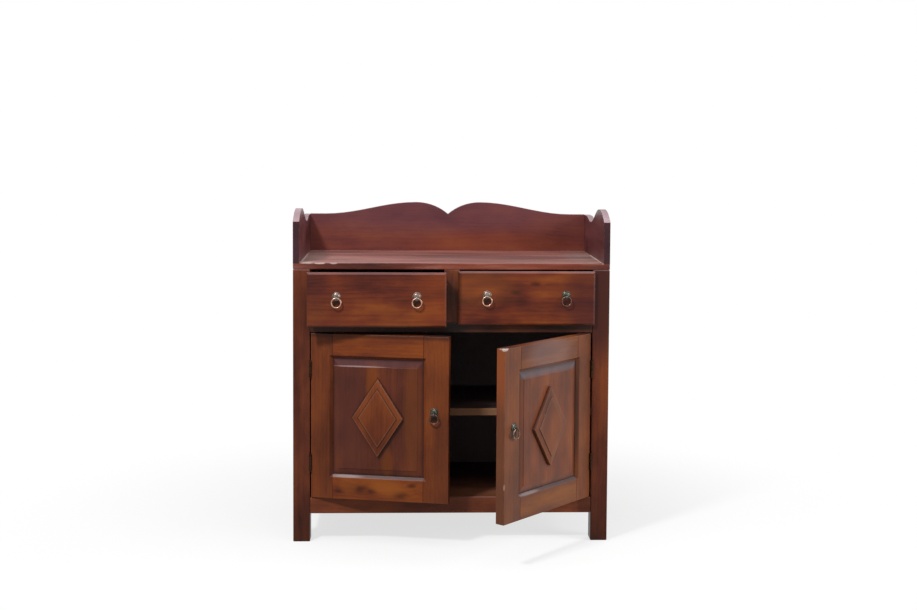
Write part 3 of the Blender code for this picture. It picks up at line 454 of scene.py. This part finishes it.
stained_teak("left_drawer_front", ALONG, DRAWER_TONES, 31.4, dust_and_sheen=0.25,
             stains=(((-0.19, -0.01), (0.07, 0.12), 0.3, "3a1a1c"),
                     ((0.17, 0.0), (0.09, 0.10), 0.2, "9a4a1c"),
                     behind_ring("left_drawer_left_ring", "left_drawer_front", ALONG, 0.75),
                     behind_ring("left_drawer_right_ring", "left_drawer_front", ALONG, 0.75)))
lip = board_box("right_drawer_front", ALONG)[1].x
stained_teak("right_drawer_front", ALONG, DRAWER_TONES, 33.2, dust_and_sheen=0.25,
             knots=((-0.031, 0.016, 0.0065), (0.026, 0.041, 0.0055)),
             stains=(((0.18, -0.01), (0.09, 0.12), 0.5, "3a1a1c"),
                     ((-0.15, 0.03), (0.13, 0.06), 0.18, "a4602c"),
                     # Painted shade: a dark band along the left end, on the lip that faces away from the
                     # light.
                     ((-lip, 0.0), (0.012, ALL_OVER), 0.55, "28120c"),
                     behind_ring("right_drawer_left_ring", "right_drawer_front", ALONG, 0.75),
                     behind_ring("right_drawer_right_ring", "right_drawer_front", ALONG, 0.4)))

# Sides, back and bottom of the drawers are thinner boards, left nearly raw inside. The sides are
# dovetailed to the front.
BOX_TONES = ("4a2e1c", "6a4630", "7d5638", "8f6845")
BOX_BOARDS = (("left_side", ALONG_SIDE), ("right_side", ALONG_SIDE), ("back", ALONG), ("bottom", FLAT))
for count, side in enumerate(("left", "right")):
    for step, (piece, turn) in enumerate(BOX_BOARDS):
        stained_teak(f"{side}_drawer_{piece}", turn, BOX_TONES, 36.0 + 5 * count + step, gloss=0.6, wear=0.1,
                     dust_and_sheen=0.1)

# The doors are framed in teak: two stiles run their full height, the rails are tenoned between them, and
# the inner arrises are chamfered round the panel. The left door has knots in its lower rail and a shaded top
# The right one is glossier, orange and chipped along its free edge, with painted sheen on its top rail and
# painted shade along its hinge stile's inner edge; both bottom rails carry painted reflection and a painted
# highlight on their chamfers.
STILE_TONES = {"left": ("4c2312", "6a341b", "7c3e1d", "8f4d22"),
               "right": ("472314", "66351a", "7a401c", "8f5020")}
FRAME_RAIL_TONES = {"left": ("4f2112", "70341a", "84421b", "995422"),
                    "right": ("452013", "643118", "774018", "8c501e")}
SHADE_TONE = "28140d"
ORANGE_TONE = "a45c24"
DOOR_SHINE = {"left": 0.15, "right": 0.28}
DOOR_RING_PATCH_REACH = {"left": RING_PATCH_REACH, "right": 0.017}


def door_turn(side):
    """How far a door stands open at rest, as a turn about Z from its shut place."""
    joint = joint_of[side + "_door"]
    return -math.radians(joint["range_deg"][0]) * joint["axis"][2]


turns = {side: door_turn(side) for side in ("left", "right")}
rail_knots = {"left_door_bottom_rail": ((-0.052, -0.003, 0.010), (-0.018, -0.009, 0.006),
                                        (0.065, -0.017, 0.0085), (-0.110, -0.012, 0.005),
                                        (0.098, 0.012, 0.005))}
stile_chips = {"right_door_free_stile": (((1.0, 1.0, 1.0), (0.006, 0.013, 0.013), 0.75),
                                         ((-0.56, 1.0, 1.0), (0.010, 0.005, 0.003), 0.25))}
for count, (side, turn) in enumerate(turns.items()):
    upright = (QUARTER, -QUARTER, turn)
    for step, piece in enumerate(("hinge_stile", "free_stile")):
        name = f"{side}_door_{piece}"
        top, edge = board_box(name, upright)[1].xy
        shaded_top = ((top, 0.0), (0.013, ALL_OVER), 0.6, SHADE_TONE)
        marks = {"left_door_hinge_stile": (shaded_top,),
                 "left_door_free_stile": (shaded_top,),
                 # Painted shade along the inner edge of the right door's hinge stile, whose chamfer faces
                 # away from the light.
                 "right_door_hinge_stile": (((0.0, edge), (0.15, 0.009), 0.75, "2a140d"),),
                 "right_door_free_stile": (((0.16, edge), (0.10, 0.003), 0.75, "8e4517"),
                                           ((-0.13, edge), (0.26, 0.003), 0.55, "56290f"))}[name]
        if piece == "free_stile":
            marks += (behind_ring(side + "_door_ring", name, upright, 0.9, DOOR_RING_PATCH_REACH[side]),)
        stained_teak(name, upright, STILE_TONES[side], 46.0 + 7 * count + step, figure=0.6,
                     shine=DOOR_SHINE[side], dust_and_sheen=0.0, stains=marks, chips=stile_chips.get(name, ()))
    for step, (piece, dust_and_sheen) in enumerate((("top_rail", 0.0), ("bottom_rail", 0.12))):
        name = f"{side}_door_{piece}"
        along = (QUARTER, 0.0, turn)
        edge = board_box(name, along)[1].y
        # On the bottom rails' chamfers: a grey band, painted reflection of the pale room, and a painted
        # highlight near the left end.
        chamfer_marks = (((0.0, edge), (2.0, 0.0085), 0.9, "3e3232"),
                         ((-0.09, edge - 0.004), (0.05, 0.004), 0.5, "b4a29c"))
        marks = {"left_door_top_rail": (((0.0, edge), (ALL_OVER, 0.013), 0.6, SHADE_TONE),),
                 "left_door_bottom_rail": (((0.03, 0.004), (0.05, 0.03), 0.4, ORANGE_TONE),
                                           ((-0.085, 0.006), (0.03, 0.03), 0.3, ORANGE_TONE),
                                           *chamfer_marks),
                 # A pale patch of painted sheen on the right door's top rail.
                 "right_door_top_rail": (((0.0, 0.0), (0.11, 0.06), 0.36, "9a7a72"),),
                 "right_door_bottom_rail": chamfer_marks}[name]
        stained_teak(name, along, FRAME_RAIL_TONES[side], 48.3 + 7 * count + step, figure=0.7,
                     shine=DOOR_SHINE[side], dust_and_sheen=dust_and_sheen, knots=rail_knots.get(name, ()), stains=marks)

# A raised and fielded panel of teak floats in the groove of each frame, with a lozenge planted on its field.
# Both have upright grain, and the panel took the stain darker. A painted shadow lies round the lozenge; pale
# lines on its arris and step are partly rubbed and partly painted highlight, with painted shade in the step;
# the groove round the panel is darkened with grime and painted shade.
PANEL_TONES = {"left": ("3e1c11", "5a2b1c", "6c3521", "87491f"),
               "right": ("4a2514", "69361e", "7e4122", "9c5922")}
LOZENGE_TONES = {"left": ("4c2111", "68311a", "793d1e", "8a4a22"),
                 "right": ("4e2512", "6a351a", "7c411e", "8e4f20")}
FIELD_INSET = 0.0300
BEVEL_MIDDLE = 0.013
# Grime and painted shade in the groove round the panel.
PANEL_GROOVE_GRIME_AND_SHADE = {"left": (0.008, 0.016, 0.7), "right": (0.008, 0.019, 0.7)}
# Painted shadow round the foot of the lozenge.
PANEL_SHADOW_LINES = ((0.0, 0.006, 0.6, "200f0a"),)
# Pale lines on the lozenge's arris and step, partly rubbed and partly painted highlight, and a dark line of
# painted shade in the step.
LOZENGE_HIGHLIGHT_AND_SHADE_LINES = ((0.001, 0.002, 0.25, "a07258"), (0.0140, 0.0022, 0.6, "26120b"),
                 (0.0165, 0.002, 0.25, "a07258"))
field_top = board_box("left_door_panel", (QUARTER, -QUARTER, turns["left"]))[1].x - FIELD_INSET
bevel = field_top + BEVEL_MIDDLE
panel_stains = {"left": (((0.0, 0.085), (0.25, 0.06), 0.45, "472624"),
                         ((0.09, 0.015), (0.09, 0.022), 0.5, "8a4818"),
                         ((0.0, -0.10), (0.20, 0.028), 0.4, "824620"),
                         ((-0.13, -0.027), (0.05, 0.02), 0.4, "8a4818"),
                         # The purple band on the top bevel is painted reflection, and the pale line below it
                         # a painted highlight on the field's step.
                         ((bevel, 0.0), (0.012, 2.0), 0.6, "502d32"),
                         ((field_top, 0.055), (0.0024, 0.085), 0.8, "a58784")),
                # The bluish grey on the right panel's top bevel is painted reflection.
                "right": (((bevel, 0.0), (0.014, 2.0), 0.6, "55545e"),)}
for count, (side, turn) in enumerate(turns.items()):
    upright = (QUARTER, -QUARTER, turn)
    outline = board_box(side + "_door_lozenge", upright)[1]
    stained_teak(side + "_door_panel", upright, PANEL_TONES[side], 61.5 + 3 * count, figure=0.6,
                 shine=DOOR_SHINE[side], stains=panel_stains[side], grime_and_shade_crease=PANEL_GROOVE_GRIME_AND_SHADE[side], lozenge=outline,
                 lines=PANEL_SHADOW_LINES)
    stained_teak(side + "_door_lozenge", upright, LOZENGE_TONES[side], 63.1 + 3 * count, figure=0.6,
                 shine=DOOR_SHINE[side], lozenge=outline, lines=LOZENGE_HIGHLIGHT_AND_SHADE_LINES)

# Butt hinges of rolled brass sheet hang the doors: each leaf is let in flush, and its knuckles turn on a
# riveted pin. Stain and varnish slopped over them have made the brass brown.
LEAF_LENGTH = 0.050
LEAF_EDGE = 0.022
LEAF_ROOT = 0.0036
LEAF_GAP = 0.0002
LEAF_THICKNESS = 0.0014
LEAF_CORNER = 0.0025
CORNER_STEPS = 4
TAB_START = 0.0009
TAB_END = LEAF_ROOT + 0.0005
TAB_MIDDLE = 0.002
KNUCKLE_RADIUS = 0.0032
KNUCKLE_COUNT = 5
KNUCKLE_ROOM = 0.0003
KNUCKLE_EASE = 0.0004
KNUCKLE_SIDES = 24
SHARP_ANGLE = math.radians(40)
PATCH_MM = 10 / 3
PATCH_SPREAD = 0.14
PATINA_DULLNESS = 0.22
PIT_DEPTH = 0.0004


def antique_brass(name, bright, dark, rubbed, roughness):
    """Old brass: a warm metal gone dull, dark and pitted in patches; rubbed is the share kept bright."""
    material, add = new_material(name)
    place = add("ShaderNodeTexCoord", take="Object")
    patches = add("ShaderNodeTexNoise", {"Vector": place, "Scale": 1000 / PATCH_MM, "Detail": 4.0,
                                         "Roughness": 0.65})
    patina = add("ShaderNodeMapRange", {"Value": patches, "From Min": rubbed - PATCH_SPREAD,
                                        "From Max": rubbed + PATCH_SPREAD})
    colour = add("ShaderNodeMix", {0: patina, 6: linear(bright), 7: linear(dark)}, 2, data_type="RGBA")
    dull = add("ShaderNodeMath", {0: patina, 1: PATINA_DULLNESS, 2: roughness}, operation="MULTIPLY_ADD")
    pits = add("ShaderNodeBump", {"Height": patches, "Strength": 0.3, "Distance": PIT_DEPTH})
    metal = add("ShaderNodeBsdfPrincipled", {"Base Color": colour, "Roughness": dull, "Normal": pits,
                                             "Metallic": 1.0})
    add("ShaderNodeOutputMaterial", {"Surface": metal})
    return material


def skin(shape, loops, closed=False):
    """Join a row of point loops with faces; a loop of one point is a pole."""
    rows = [[shape.verts.new(point) for point in loop] for loop in loops]
    for low, high in zip(rows, rows[1:] + rows[:1] if closed else rows[1:]):
        for step in range(max(len(low), len(high))):
            after = step + 1
            corners = [low[step % len(low)], low[after % len(low)],
                       high[after % len(high)], high[step % len(high)]]
            shape.faces.new(list(dict.fromkeys(corners)))


def circle(radius, height, steps):
    """Points round the Z axis, or the one point on it where the radius is nothing."""
    if not radius:
        return [(0.0, 0.0, height)]
    swings = [math.tau * step / steps for step in range(steps)]
    return [(radius * math.cos(swing), radius * math.sin(swing), height) for swing in swings]


def add_piece(name, shape, place, material, body, node):
    """Make a piece of a shape drawn at the origin, and let it ride on its body in place of its node."""
    bmesh.ops.transform(shape, matrix=place, verts=shape.verts)
    bmesh.ops.recalc_face_normals(shape, faces=shape.faces)
    for face in shape.faces:
        face.smooth = True
    for edge in shape.edges:
        edge.smooth = edge.calc_face_angle(0.0) < SHARP_ANGLE
    mesh = bpy.data.meshes.new(name)
    shape.to_mesh(mesh)
    shape.free()
    mesh.materials.append(material)
    piece = bpy.data.objects.new(name, mesh)
    bpy.context.scene.collection.objects.link(piece)
    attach(piece, body)
    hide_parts(node)


def hinge_leaf(toward, first):
    """A leaf on the pin's axis: a plate with two round corners, and every second knuckle from the first."""
    shape = bmesh.new()
    near = toward * LEAF_GAP
    far = near + toward * LEAF_THICKNESS
    half = LEAF_LENGTH / 2
    outline = [(LEAF_ROOT, -half)]
    for side in (-1, 1):
        for step in range(CORNER_STEPS + 1):
            share = step / CORNER_STEPS
            swing = QUARTER * (share if side < 0 else 1 - share)
            outline.append((LEAF_EDGE - LEAF_CORNER * (1 - math.sin(swing)),
                            side * (half - LEAF_CORNER * (1 - math.cos(swing)))))
    outline.append((LEAF_ROOT, half))
    middle = (LEAF_ROOT + LEAF_EDGE) / 2
    skin(shape, [[(near, middle, 0)], [(near, *point) for point in outline],
                 [(far, *point) for point in outline], [(far, middle, 0)]])
    pitch = LEAF_LENGTH / KNUCKLE_COUNT
    for count in range(first, KNUCKLE_COUNT, 2):
        low = count * pitch - half + KNUCKLE_ROOM / 2
        high = low + pitch - KNUCKLE_ROOM
        tab = [(TAB_START, low), (TAB_END, low), (TAB_END, high), (TAB_START, high)]
        level = (low + high) / 2
        skin(shape, [[(near, TAB_MIDDLE, level)], [(near, *point) for point in tab],
                     [(far, *point) for point in tab], [(far, TAB_MIDDLE, level)]])
        eased = KNUCKLE_RADIUS - KNUCKLE_EASE
        profile = ((0.0, low), (eased, low), (KNUCKLE_RADIUS, low + KNUCKLE_EASE),
                   (KNUCKLE_RADIUS, high - KNUCKLE_EASE), (eased, high), (0.0, high))
        skin(shape, [circle(radius, height, KNUCKLE_SIDES) for radius, height in profile])
    return shape


hinge_brass = antique_brass("browned_brass", "4a3626", "221812", 0.45, 0.45)
hinges = []
for side, sign in (("left", -1), ("right", 1)):
    for level in ("upper", "lower"):
        low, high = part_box(f"{side}_{level}_hinge_frame_leaf")
        axis = Vector(joint_of[side + "_door"]["pos_m"])
        axis.z = (low.z + high.z) / 2
        fixed = Matrix.Translation(axis)
        swung = fixed @ Matrix.Rotation(turns[side], 4, "Z")
        hinges.append((side, sign, fixed, swung))
        for leaf, toward, first, place, body in (("frame_leaf", sign, 0, fixed, "carcass"),
                                                 ("door_leaf", -sign, 1, swung, side + "_door")):
            name = f"{side}_{level}_hinge_{leaf}"
            rolled = hinge_leaf(toward, first)
            add_piece(name + "_rolled", rolled, place, hinge_brass, body, name)

# Three small countersunk screws of the same browned brass hold each leaf. Their slotted heads lie flush in
# the plate, each turned as the screwdriver left it.
SCREW_PLACES = ((0.0095, -0.0165), (0.0165, 0.0), (0.0095, 0.0165))
SCREW_HEAD = 0.0024
SCREW_DEPTH = 0.0010
SCREW_SLOT = 0.0007
SCREW_PROUD = 0.00006
SCREW_SIDES = 20
SLOT_REACH = 3.0
SLOT_LIFT = 0.65
TURN_SEED = 7


def new_tree(name, sizes):
    """An empty geometry tree that takes points and named sizes, and the call that adds nodes to it."""
    tree = bpy.data.node_groups.new(name, "GeometryNodeTree")
    tree.interface.new_socket("Geometry", in_out="INPUT", socket_type="NodeSocketGeometry")
    tree.interface.new_socket("Geometry", in_out="OUTPUT", socket_type="NodeSocketGeometry")
    for size in sizes:
        tree.interface.new_socket(size, in_out="INPUT", socket_type="NodeSocketFloat")
    tree.interface.new_socket("Metal", in_out="INPUT", socket_type="NodeSocketMaterial")
    add = functools.partial(add_node, tree)
    return tree, add, add("NodeGroupInput").node.outputs


def set_out(add, given, fastener):
    """End a tree: the fastener stands on each point, turned to its aim and by chance about it."""
    aim = add("GeometryNodeInputNamedAttribute", {"Name": "aim"}, data_type="FLOAT_VECTOR")
    turn = add("FunctionNodeAlignRotationToVector", {"Vector": aim}, axis="Z")
    placed = add("GeometryNodeInstanceOnPoints", {"Points": given["Geometry"], "Instance": fastener,
                                                  "Rotation": turn})
    chance = add("FunctionNodeRandomValue", {0: (0.0, 0.0, 0.0), 1: (0.0, 0.0, math.pi), "Seed": TURN_SEED},
                 data_type="FLOAT_VECTOR")
    placed = add("GeometryNodeRotateInstances", {"Instances": placed, "Rotation": chance})
    solid = add("GeometryNodeRealizeInstances", {"Geometry": placed})
    finished = add("GeometryNodeSetMaterial", {"Geometry": solid, "Material": given["Metal"]})
    add("NodeGroupOutput", {"Geometry": finished})


def fasten(name, tree, values, places, body):
    """Run a tree on points with an aim, and let the plain mesh that comes of it ride on a body."""
    mesh = bpy.data.meshes.new(name + "_points")
    mesh.from_pydata([point for point, aim in places], [], [])
    aims = mesh.attributes.new("aim", "FLOAT_VECTOR", "POINT")
    for item, (point, aim) in zip(aims.data, places):
        item.vector = aim
    maker = bpy.data.objects.new(name + "_points", mesh)
    bpy.context.scene.collection.objects.link(maker)
    run = maker.modifiers.new("fasteners", "NODES")
    run.node_group = tree
    for item in tree.interface.items_tree:
        if item.name in values:
            run[item.identifier] = values[item.name]
    made = maker.evaluated_get(bpy.context.evaluated_depsgraph_get())
    plain = bpy.data.meshes.new_from_object(made)
    bpy.data.objects.remove(maker)
    piece = bpy.data.objects.new(name, plain)
    bpy.context.scene.collection.objects.link(piece)
    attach(piece, body)


screws, add, given = new_tree("countersunk_screws", ("Head Radius", "Head Depth", "Slot Width"))
head = add("GeometryNodeMeshCylinder", {"Vertices": SCREW_SIDES, "Radius": given["Head Radius"],
                                        "Depth": given["Head Depth"]}, "Mesh")
reach = add("ShaderNodeMath", {0: given["Head Radius"], 1: SLOT_REACH}, operation="MULTIPLY")
size = add("ShaderNodeCombineXYZ", {"X": reach, "Y": given["Slot Width"], "Z": given["Head Depth"]})
lift = add("ShaderNodeMath", {0: given["Head Depth"], 1: SLOT_LIFT}, operation="MULTIPLY")
lift = add("ShaderNodeCombineXYZ", {"Z": lift})
groove = add("GeometryNodeMeshCube", {"Size": size}, "Mesh")
groove = add("GeometryNodeTransform", {"Geometry": groove, "Translation": lift})
slotted = add("GeometryNodeMeshBoolean", {"Mesh 1": head, "Mesh 2": [groove]}, "Mesh", operation="DIFFERENCE")
set_out(add, given, slotted)
screw_sizes = {"Head Radius": SCREW_HEAD, "Head Depth": SCREW_DEPTH, "Slot Width": SCREW_SLOT,
               "Metal": hinge_brass}
sink = LEAF_GAP + SCREW_DEPTH / 2 - SCREW_PROUD
frame_screws = []
door_screws = {"left": [], "right": []}
for side, sign, fixed, swung in hinges:
    for across, up in SCREW_PLACES:
        frame_screws.append((fixed @ Vector((sign * sink, across, up)), Vector((-sign, 0, 0))))
        door_screws[side].append((swung @ Vector((-sign * sink, across, up)),
                                  swung.to_3x3() @ Vector((sign, 0, 0))))
fasten("frame_leaf_screws", screws, screw_sizes, frame_screws, "carcass")
for side, places in door_screws.items():
    fasten(side + "_door_leaf_screws", screws, screw_sizes, places, side + "_door")

# Six ring pulls. Each has a cast and turned brass rosette with an eye on a short neck, whose threaded shank
# goes through the wood. The patina is greyish, rubbed bright in places, and nearly black on three of them.
EYE_OUT = 0.0095
EYE_DROP = 0.0042
EYE_HOLE = 0.0029
EYE_WALL = 0.0019
EYE_WIDTH = 0.0045
EYE_STEPS = 28
EYE_SIDES = 12
SHANK_START = 0.001
SHANK_RADIUS = 0.0020
SHANK_TIP = 0.0048
SHANK_SIDES = 16
THREAD_PITCH = 0.0008
THREAD_ROOT = 0.84 * SHANK_RADIUS
WOOD_THICKNESS = {"drawer": 0.024, "door": 0.027}
ROSETTE_PROFILE = ((0.0, 0.0), (0.0116, 0.0), (0.0120, 0.0004), (0.0119, 0.0010), (0.0113, 0.0015),
                   (0.0106, 0.0015), (0.0101, 0.0011), (0.0097, 0.0010), (0.0094, 0.0015),
                   (0.0086, 0.0025), (0.0072, 0.0033), (0.0053, 0.0039), (0.0029, 0.0042), (0.0, 0.0043))
ROSETTE_SIDES = 40
NECK_PROFILE = ((0.0, 0.0015), (0.0046, 0.0015), (0.0039, 0.0036), (0.0031, 0.0050), (0.0030, 0.0068),
                (0.0, 0.0068))
NECK_SIDES = 20
TARNISHED = ("right_drawer_right_ring", "left_door_ring", "right_door_ring")


def rosette_shape(wood):
    """Rosette, neck, eye and threaded shank, drawn with the wood's face at height 0 and Z out of the wood."""
    shape = bmesh.new()
    skin(shape, [circle(radius, height, ROSETTE_SIDES) for radius, height in ROSETTE_PROFILE])
    neck = [circle(radius, height, NECK_SIDES) for radius, height in NECK_PROFILE]
    skin(shape, [[(x, y - EYE_DROP, z) for x, y, z in loop] for loop in neck])
    loops = []
    for step in range(EYE_STEPS):
        turn = math.tau * step / EYE_STEPS
        loop = []
        for part in range(EYE_SIDES):
            swing = math.tau * part / EYE_SIDES
            radius = EYE_HOLE + EYE_WALL / 2 * (1 + math.sin(swing))
            loop.append((EYE_WIDTH / 2 * math.cos(swing), radius * math.cos(turn) - EYE_DROP,
                         radius * math.sin(turn) + EYE_OUT))
        loops.append(loop)
    skin(shape, loops, closed=True)
    length = wood + SHANK_TIP
    thread = [(0.0, SHANK_START), (SHANK_RADIUS, SHANK_START), (SHANK_RADIUS, -length / 2)]
    for step in range(int(length / 2 / THREAD_PITCH)):
        start = -length / 2 - step * THREAD_PITCH
        thread.append((THREAD_ROOT, start - THREAD_PITCH / 2))
        thread.append((SHANK_RADIUS, start - THREAD_PITCH))
    thread.append((0.0, -length))
    skin(shape, [circle(radius, height, SHANK_SIDES) for radius, height in thread])
    return shape


rosette_brass = antique_brass("patinated_brass", "94837a", "4c443e", 0.52, 0.33)
tarnished_brass = antique_brass("tarnished_brass", "6a6a60", "22231e", 0.48, 0.33)
pulls = []
for body in joint_of:
    if body.endswith("_ring"):
        carrier = joint_of[body]["parent"]
        turn = turns.get(carrier.removesuffix("_door"), 0.0)
        lie = Matrix.Translation(joint_of[body]["pos_m"]) @ Matrix.Rotation(turn, 4, "Z")
        pulls.append((body, carrier, lie))
        face = lie @ Matrix.Translation((0.0, EYE_OUT, EYE_DROP)) @ Matrix.Rotation(QUARTER, 4, "X")
        name = body.removesuffix("_ring") + "_pull_rosette"
        wood = WOOD_THICKNESS[carrier.split("_")[1]]
        brass = tarnished_brass if body in TARNISHED else rosette_brass
        add_piece(name + "_cast", rosette_shape(wood), face, brass, carrier, name)

# The rings are bent of round brass rod and brazed shut in the eyes. Fingers keep three of them bright; two
# have gone dull, and the right door's is flecked with brown.
RING_WIRE = 0.0020
RING_STEPS = 56
RING_SIDES = 14
ring_brass = antique_brass("rubbed_brass", "b4907a", "7a5c48", 0.6, 0.3)
dull_ring_brass = antique_brass("dulled_brass", "77594c", "3e2e28", 0.5, 0.4)
flecked_ring_brass = antique_brass("flecked_brass", "a68670", "352822", 0.48, 0.35)
ring_finish = {"right_drawer_right_ring": dull_ring_brass, "left_door_ring": dull_ring_brass,
               "right_door_ring": flecked_ring_brass}
for body, carrier, lie in pulls:
    shape = bmesh.new()
    loops = []
    for step in range(RING_STEPS):
        turn = math.tau * step / RING_STEPS
        loop = []
        for part in range(RING_SIDES):
            swing = math.tau * part / RING_SIDES
            radius = RING_RADIUS + RING_WIRE * math.cos(swing)
            loop.append((radius * math.sin(turn), RING_WIRE * math.sin(swing),
                         radius * math.cos(turn) - RING_RADIUS))
        loops.append(loop)
    skin(shape, loops, closed=True)
    name = body.removesuffix("_ring") + "_pull_ring"
    add_piece(name + "_rod", shape, lie, ring_finish.get(body, ring_brass), body, name)

# A washer and a hexagon nut of brass on each shank draw the rosette tight from inside the drawer or door.
# They have browned like the hinges.
NUT_SIZES = {"Nut Radius": 0.0040, "Nut Height": 0.0026, "Washer Radius": 0.0058, "Washer Height": 0.0007,
             "Bore": 0.00195}
NUT_SIDES = 6
WASHER_SIDES = 24
BORE_SIDES = 16
BORE_LENGTH = 0.02
nuts, add, given = new_tree("shank_nuts", tuple(NUT_SIZES))
washer = add("GeometryNodeMeshCylinder", {"Vertices": WASHER_SIDES, "Radius": given["Washer Radius"],
                                          "Depth": given["Washer Height"]}, "Mesh")
base = add("ShaderNodeMath", {0: given["Washer Height"], 1: 0.5}, operation="MULTIPLY")
base = add("ShaderNodeCombineXYZ", {"Z": base})
washer = add("GeometryNodeTransform", {"Geometry": washer, "Translation": base})
nut = add("GeometryNodeMeshCylinder", {"Vertices": NUT_SIDES, "Radius": given["Nut Radius"],
                                       "Depth": given["Nut Height"]}, "Mesh")
lift = add("ShaderNodeMath", {0: given["Nut Height"], 1: 0.5, 2: given["Washer Height"]},
           operation="MULTIPLY_ADD")
lift = add("ShaderNodeCombineXYZ", {"Z": lift})
nut = add("GeometryNodeTransform", {"Geometry": nut, "Translation": lift})
bore = add("GeometryNodeMeshCylinder", {"Vertices": BORE_SIDES, "Radius": given["Bore"],
                                        "Depth": BORE_LENGTH}, "Mesh")
nut = add("GeometryNodeMeshBoolean", {"Mesh 1": nut, "Mesh 2": [bore]}, "Mesh", operation="DIFFERENCE")
washer = add("GeometryNodeMeshBoolean", {"Mesh 1": washer, "Mesh 2": [bore]}, "Mesh", operation="DIFFERENCE")
set_out(add, given, add("GeometryNodeJoinGeometry", {"Geometry": [washer, nut]}))
for holder in ("left_drawer", "right_drawer", "left_door", "right_door"):
    wood = WOOD_THICKNESS[holder.split("_")[1]]
    places = [(lie @ Vector((0.0, EYE_OUT + wood, EYE_DROP)), lie.to_3x3() @ Vector((0, 1, 0)))
              for body, carrier, lie in pulls if carrier == holder]
    fasten(holder + "_pull_nuts", nuts, {**NUT_SIZES, "Metal": hinge_brass}, places, holder)

# A pale studio floor. To the camera and to reflections it is white and keeps the shadow round the feet;
# to the light it is a plain grey, so that little bounces up under the sideboard.
FLOOR_SIZE = 40.0
SHADOW_REACH = (0.5, 1.5)
SHADOW_SHARE = 0.3
bpy.ops.mesh.primitive_plane_add(size=FLOOR_SIZE)
floor = bpy.context.object
floor.name = "studio_floor"
material, add = new_material("painted_floor")
place = add("ShaderNodeTexCoord", take="Object")
away = add("ShaderNodeVectorMath", {0: place}, "Value", operation="LENGTH")
shaded = add("ShaderNodeMapRange", {"Value": away, "From Min": SHADOW_REACH[0], "From Max": SHADOW_REACH[1],
                                    "To Min": SHADOW_SHARE, "To Max": 0.0}, interpolation_type="SMOOTHSTEP")
rays = add("ShaderNodeLightPath").node.outputs
seen = add("ShaderNodeMath", {0: rays["Is Camera Ray"], 1: rays["Is Glossy Ray"]}, operation="ADD")
seen = add("ShaderNodeMath", {0: seen, 1: rays["Is Transmission Ray"]}, operation="ADD", use_clamp=True)
lit = add("ShaderNodeBsdfDiffuse", {"Color": linear("f4f4f4")})
glow = add("ShaderNodeEmission", {"Color": linear("ffffff"), "Strength": 1.0})
pale = add("ShaderNodeMixShader", {0: shaded, 1: glow, 2: lit})
grey = add("ShaderNodeBsdfDiffuse", {"Color": linear("7c7c7c")})
mixed = add("ShaderNodeMixShader", {0: seen, 1: grey, 2: pale})
add("ShaderNodeOutputMaterial", {"Surface": mixed})
floor.data.materials.append(material)

# Soft studio light: a pale room, a wide soft box overhead, one high on the left in front, which gives the
# pulls and the gallery their shadows, and one on the right for the open door.
ROOM_LIGHT = 0.33
world = bpy.data.worlds.new("pale_room")
bpy.context.scene.world = world
world.use_nodes = True
world.node_tree.nodes.clear()
add = functools.partial(add_node, world.node_tree)
rays = add("ShaderNodeLightPath").node.outputs
seen = add("ShaderNodeMath", {0: rays["Is Camera Ray"], 1: rays["Is Glossy Ray"]}, operation="ADD")
seen = add("ShaderNodeMath", {0: seen, 1: rays["Is Transmission Ray"]}, operation="ADD", use_clamp=True)
level = add("ShaderNodeMapRange", {"Value": seen, "To Min": ROOM_LIGHT, "To Max": 1.0})
room = add("ShaderNodeBackground", {"Color": linear("ffffff"), "Strength": level})
add("ShaderNodeOutputWorld", {"Surface": room})


def soft_box(name, place, target, width, height, power):
    """A rectangular lamp that looks at a point."""
    lamp = bpy.data.lights.new(name, "AREA")
    lamp.shape = "RECTANGLE"
    lamp.size = width
    lamp.size_y = height
    lamp.energy = power
    holder = bpy.data.objects.new(name, lamp)
    holder.location = place
    holder.rotation_euler = (Vector(target) - Vector(place)).to_track_quat("-Z", "Y").to_euler()
    bpy.context.scene.collection.objects.link(holder)


soft_box("overhead_box", (-0.2, -0.8, 2.6), (0.0, 0.05, 0.6), width=2.0, height=1.2, power=15.0)
soft_box("key_box", (-1.5, -2.0, 3.0), (0.0, 0.0, 0.6), width=0.4, height=0.4, power=84.0)
soft_box("right_box", (2.6, -1.1, 1.35), (0.1, -0.2, 0.5), width=1.2, height=1.4, power=46.0)

# The camera stands where the photograph was taken from, a little left of the middle and above the top. Its
# place, turn and focal length were fitted to measured points, and the shift sets the photograph's framing.
PHOTO_WIDTH = 917
PHOTO_HEIGHT = 610
FOCAL_PIXELS = 1378.6
AXIS_ROW = 221.0
SENSOR = 36.0
STAND = (-0.1199, -3.9732, 1.1587)
YAW = math.radians(2.023)
PITCH = math.radians(3.504)
ROLL = math.radians(0.332)
view = bpy.data.cameras.new("photo_camera")
view.sensor_width = SENSOR
view.lens = FOCAL_PIXELS * SENSOR / PHOTO_WIDTH
view.shift_y = (AXIS_ROW - PHOTO_HEIGHT / 2) / PHOTO_WIDTH
camera = bpy.data.objects.new("photo_camera", view)
camera.matrix_world = (Matrix.Translation(STAND) @ Matrix.Rotation(-YAW, 4, "Z")
                       @ Matrix.Rotation(QUARTER - PITCH, 4, "X") @ Matrix.Rotation(ROLL, 4, "Z"))
bpy.context.scene.collection.objects.link(camera)
bpy.context.scene.camera = camera
bpy.context.scene.view_settings.view_transform = "Standard"
